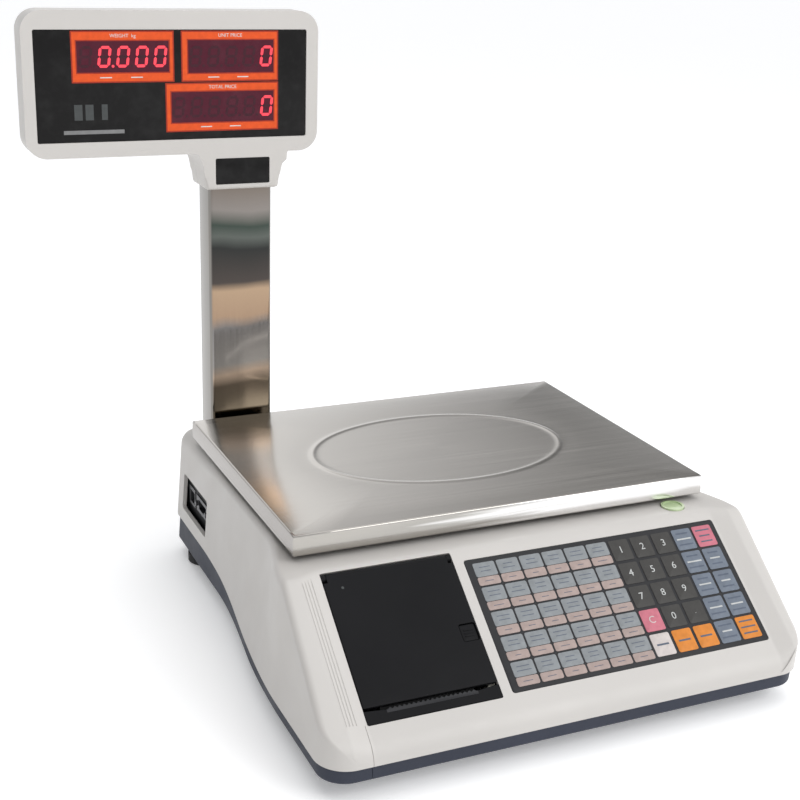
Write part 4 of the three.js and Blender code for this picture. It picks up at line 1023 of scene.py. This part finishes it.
def make_windows():
    front, rear = HEAD_FRONT + FACE_DEPTH, HEAD_BACK - REAR_FACE_DEPTH
    front_pane = rounded_outline(*grown(WINDOW_BOX, -0.3), 1.0, 4)
    rear_pane = rounded_outline(*grown(REAR_WINDOW_BOX, -0.3), 1.0, 4)
    neck_pane = rounded_outline(*NECK_PANEL_BOX, 0.8, 3)
    for name, node, outline, start, end, near, far in (
        ("front_window_panel", "front_window", front_pane, front, front + 2.0, 0.25, 0.0),
        ("rear_window_panel", "rear_window", rear_pane, rear - 1.3, rear, 0.0, 0.25),
        ("neck_panel_face", "neck_panel", neck_pane, front - 0.4, front + 0.7, 0.2, 0.0),
    ):
        pane = prism(outline, start, end, "Y", near, far, segments=2)
        add_piece(name, pane, None, WINDOW, "base", [node])


make_windows()
print_window("front_print", FRONT_FACE)
print_window("rear_print", REAR_FACE, 0.83)


def print_badge():
    """A generic mark in the window's lower left: plain blocks and a bar."""
    sheet = Sheet("front_badge", FRONT_FACE, "base", "smoked_window")
    for x, width in ((-227, 5.5), (-219.5, 5.5), (-208.5, 4.0)):
        sheet.add(PRINT_GREY, block(x, x + width, 340.2, 350.6, 0, 0.08))
    sheet.add(PRINT_BAR, block(-234.5, -193.5, 330.9, 333.5, 0, 0.08))
    sheet.place()


print_badge()

# ---------------------------------------------------------------- keypad

KEY_MIDDLE_X, KEY_PITCH = 50.0, (16.5, 17.2)
KEY_HIGH, LEGEND_HIGH = 0.3, 0.36
FILM_BLACK = ink("film_black", (0.022, 0.022, 0.024), 0.38)
FILM_DARK = ink("film_dark_key", (0.050, 0.048, 0.045), 0.42)
FILM_BLUE = ink("film_blue_grey", (0.235, 0.25, 0.26), 0.42)
FILM_BEIGE = ink("film_beige", (0.37, 0.29, 0.265), 0.42)
FILM_FUNCTION = ink("film_function", (0.15, 0.175, 0.215), 0.42)
FILM_PINK = ink("film_pink", (0.52, 0.16, 0.205), 0.42)
FILM_ORANGE = ink("film_orange", (0.62, 0.215, 0.035), 0.42)
FILM_WHITE = ink("film_white", (0.55, 0.50, 0.48), 0.42)
FILM_TEXT = ink("film_text", (0.50, 0.51, 0.50), 0.42)
FILM_LINE = ink("film_line", (0.10, 0.12, 0.16), 0.42)


def key_cell(column, row):
    """A key's centre: column 0 is at the left and row 0 at the top."""
    middle_t = (KEYPAD_BOX[2] + KEYPAD_BOX[3]) / 2
    return KEY_MIDDLE_X + (column - 5) * KEY_PITCH[0], middle_t + (2 - row) * KEY_PITCH[1]


def key_pad(x, t, half_x, half_t):
    """A key's printed dome: a rounded rectangle with a soft upper rim."""
    outline = rounded_outline(x - half_x, x + half_x, t - half_t, t + half_t, 1.2, 4)
    return prism(outline, 0, KEY_HIGH, far=0.18, segments=2)


NUMBER_KEYS = [["1", "2", "3"], ["4", "5", "6"], ["7", "8", "9"], ["C", "0", "."]]


def make_keypad():
    film = prism(rounded_outline(*KEYPAD_BOX, 1.8, 5), -0.9, 0.0, far=0.15, segments=2)
    slot = "keypad_film"
    add_piece("keypad_film_sheet", film, SLOPE, FILM_BLACK, "base", ["keypad_overlay"])
    sheet = Sheet("keypad", SLOPE, "base", slot)
    chance = random.Random(7)

    def legend(material, x, t, half_x, half_t):
        sheet.bar(material, x, t, half_x, half_t, KEY_HIGH, LEGEND_HIGH)

    for row in range(5):
        for column in range(6):
            x, t = key_cell(column, row)
            sheet.add(FILM_BLUE, key_pad(x, t + 3.0, 7.6, 4.9))
            sheet.add(FILM_BEIGE, key_pad(x, t - 5.1, 7.6, 2.9))
            for line_t in (t + 4.6, t + 1.8):
                legend(FILM_LINE, x, line_t, chance.uniform(3.2, 5.0), 0.22)
            legend(FILM_LINE, x, t - 5.2, chance.uniform(2.0, 3.6), 0.2)
    for row, labels in enumerate(NUMBER_KEYS):
        for column, label in enumerate(labels, 6):
            x, t = key_cell(column, row)
            special = label == "C"
            sheet.add(FILM_PINK if special else FILM_DARK, key_pad(x, t, 7.2, 7.6))
            size = 2.6 if label == "." else 5.0
            sheet.add(FILM_WHITE if special else FILM_TEXT, lettering(label, size, (x, t)), 0.34)
    for column, material in ((6, FILM_WHITE), (7, FILM_ORANGE), (8, FILM_ORANGE)):
        x, t = key_cell(column, 4)
        sheet.add(material, key_pad(x, t, 7.2, 7.6))
        legend(FILM_LINE, x, t, 4.4, 0.6)
    for row in range(5):
        for column in (9, 10):
            x, t = key_cell(column, row)
            material = {(10, 0): FILM_PINK, (10, 4): FILM_ORANGE}.get((column, row), FILM_FUNCTION)
            sheet.add(material, key_pad(x, t, 7.4, 7.8))
            for line in range(3):
                light = line == 1 and material is FILM_FUNCTION
                width = chance.uniform(3.6, 5.8)
                legend(FILM_TEXT if light else FILM_LINE, x, t + 4.4 - line * 4.2, width, 0.5)
    sheet.place()


make_keypad()

# ---------------------------------------------------------------- printer cover

HINGE_T, HINGE_N = 96.4, -2.4
TEETH_X0, TEETH_X1 = -125.5, -66.5
BUTTON_BOX = (-63.6, -53.2, 39, 50.2)


def make_door():
    outline = rounded_outline(DOOR_X0, DOOR_X1, 10.4, 98.9, 1.0, 4)
    door = piece_from("printer_cover_plate", prism(outline, -2.3, 0.3, far=0.45, segments=3), SLOPE)
    barrel_x0, barrel_x1 = -136.0, -55.5
    tools = [
        block(-141, barrel_x0, HINGE_T - 4.2, 104, -6, 6),
        block(barrel_x1, -51, HINGE_T - 4.2, 104, -6, 6),
        block(-141, -51, HINGE_T + 0.2, 104, -6, 6),
        prism(rounded_outline(*grown(BUTTON_BOX, 0.4), 1.5, 4), -6, 6),
    ]
    carve(door, [cutter(tool, SLOPE) for tool in tools])
    barrel = rod("X", HINGE_T, HINGE_N, 2.7, barrel_x0, barrel_x1, 40, edge=0.4)
    carve(door, [cutter(barrel, SLOPE)], "UNION")
    carve(door, [cutter(rod("X", HINGE_T, HINGE_N, 1.5, -140, -50, 24), SLOPE)])
    finish_piece(door, BLACK, "cover", ["printer_cover"])
    rib = block(-134, -70, 60, 62, -4.0, -2.2, 0.3)
    add_piece("printer_cover_rib", rib, SLOPE, BLACK, "cover")


def make_release_button():
    cap = prism(rounded_outline(*BUTTON_BOX, 1.2, 4), -4, -0.4, far=0.5, segments=3)
    grip = [block(-61.6, -55.2, 42.0 + 2.0 * i, 42.8 + 2.0 * i, -0.5, -0.1, 0.15) for i in range(3)]
    flange = block(-65.2, -52.6, 37.4, 51.8, -4.4, -2.7, 0.3)
    stem = block(-60.6, -57.6, 42.0, 47.2, -8, -4, 0.3)
    button = merge(cap, *grip, flange, stem)
    body = "release_button"
    add_piece("release_button_cap", button, SLOPE, BLACK, body, ["cover_release_button"])


def make_door_mark():
    """A small plain dot near the cover's upper left corner."""
    sheet = Sheet("cover_mark", SLOPE, "cover", "black_plastic")
    sheet.add(PRINT_GREY, prism(arc_points((-127.8, 87.6), 0.9, 0, 345, 12), 0.28, 0.36))
    sheet.place()


make_door()
make_release_button()
make_door_mark()


def teeth(tip, root):
    """The saw edge, from right to left, as points between the root and the tips."""
    points = []
    x = TEETH_X1 - 1
    while x > TEETH_X0 + 1:
        points += [(x, root), (x - 1.5, tip)]
        x -= 3
    return points + [(TEETH_X0 + 1, root)]


def make_tear_bar():
    t0, t1 = 0.3, 8.6
    outline = [(DOOR_X0, t0), (DOOR_X1, t0), (DOOR_X1, t1), *teeth(t1, t1 - 1.4), (DOOR_X0, t1)]
    bar = prism(outline, -2.6, 0.3)
    add_piece("tear_bar_body", bar, SLOPE, BLACK, "base", ["tear_bar"])
    back, root = t1 - 3.2, t1 - 1.3
    outline = [(TEETH_X0, back), (TEETH_X1, back), (TEETH_X1, root)]
    outline += [*teeth(t1 - 0.1, root), (TEETH_X0, root)]
    add_piece("tear_blade", prism(outline, 0.3, 0.45), SLOPE, BLADE, "base")


make_tear_bar()

# ---------------------------------------------------------------- CAD nodes that stay

CARRIED = {
    RUBBER: ["platen_roller", *each("levelling_foot_"), *each("pan_pad_")],
    ZINC: ["column_bracket", "cover_hinge_pin", "stepper_motor", *each("housing_screw_")],
    PORT_SHELL: ["serial_port", "network_port"],
    CAST: ["load_cell", "cell_base_block", "cell_top_block", "pan_spider", "thermal_head"],
    BLACK: ["printer_bay", "side_port_plate", "power_inlet", "switch_frame", "power_rocker"],
    BOARD: ["front_display_board", "rear_display_board", "keypad_board", "main_board", "power_supply"],
    NYLON: ["platen_gear", "idler_gear", "motor_pinion", "paper_spindle"],
    PAPER: ["paper_roll"],
    CASE: ["battery"],
    SPIRIT: ["bubble_level"],
    CABLE: ["display_cable"],
    LED_FACE: [f"{side}_led_{readout[0]}" for side in ("front", "rear") for readout in READOUTS],
}
for material, names in CARRIED.items():
    for name in names:
        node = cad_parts[name]
        node.data.materials.clear()
        node.data.materials.append(material)
        shade(node, 30)

# ---------------------------------------------------------------- floor, light and surroundings


def glowing_paper(name, color, glow):
    """Matt backdrop paper that glows a little by itself."""
    nodes = new_material(name)
    return nodes.set(
        Base_Color=nodes.shades(nodes.noise(3, 2), tint(color, 0.995), color),
        Roughness=0.9, Emission_Color=(1, 1, 1, 1), Emission_Strength=glow,
    )


def make_floor():
    bm = bmesh.new()
    bmesh.ops.create_grid(bm, x_segments=4, y_segments=4, size=30)
    mesh = bpy.data.meshes.new("floor")
    bm.to_mesh(mesh)
    bm.free()
    floor = link_mesh("floor", mesh)
    floor.data.materials.append(glowing_paper("floor_paper", (0.93, 0.93, 0.93), 0.24))


def area_light(name, place, target, size, power):
    data = bpy.data.lights.new(name, "AREA")
    data.shape = "RECTANGLE"
    data.size, data.size_y = size
    data.energy = power
    light = bpy.data.objects.new(name, data)
    bpy.context.scene.collection.objects.link(light)
    light.location = place
    light.rotation_euler = (Vector(target) - Vector(place)).to_track_quat("-Z", "Y").to_euler()


def make_world():
    """Soft studio surroundings with an even horizon, darker on the left and behind on the right."""
    world = bpy.data.worlds.new("studio")
    nodes = Nodes(world, "Background", "Generated")
    strength = nodes.remap(nodes.along("X"), 0.25, 1.12, -0.9, 0.3, interpolation_type="SMOOTHSTEP")
    patch = 1.0
    for axis, none, full in (("X", 0.26, 0.50), ("Y", 0.25, 0.6), ("Z", 0.75, 0.5)):
        patch = nodes.multiply_add(nodes.remap(nodes.along(axis), 0, 1, none, full), patch)
    strength = nodes.multiply_add(strength, nodes.remap(patch, 1.0, 0.25, 0, 1))
    above = nodes.remap(nodes.along("Z"), 0, 1, 0.11, 0.18)
    even = nodes.add("ShaderNodeMix", {"Factor": above, "A": 1.05, "B": strength})
    nodes.set(Strength=even.outputs["Result"], Color=(0.97, 0.98, 1.0, 1))
    bpy.context.scene.world = world
    bpy.context.scene.view_settings.view_transform = "Standard"


make_floor()
make_world()
area_light("key", (1.1, -1.5, 1.5), (0, -0.05, 0.1), (1.4, 1.0), 15)
area_light("top", (0.0, 0.2, 1.9), (0, 0, 0), (1.8, 1.8), 9)
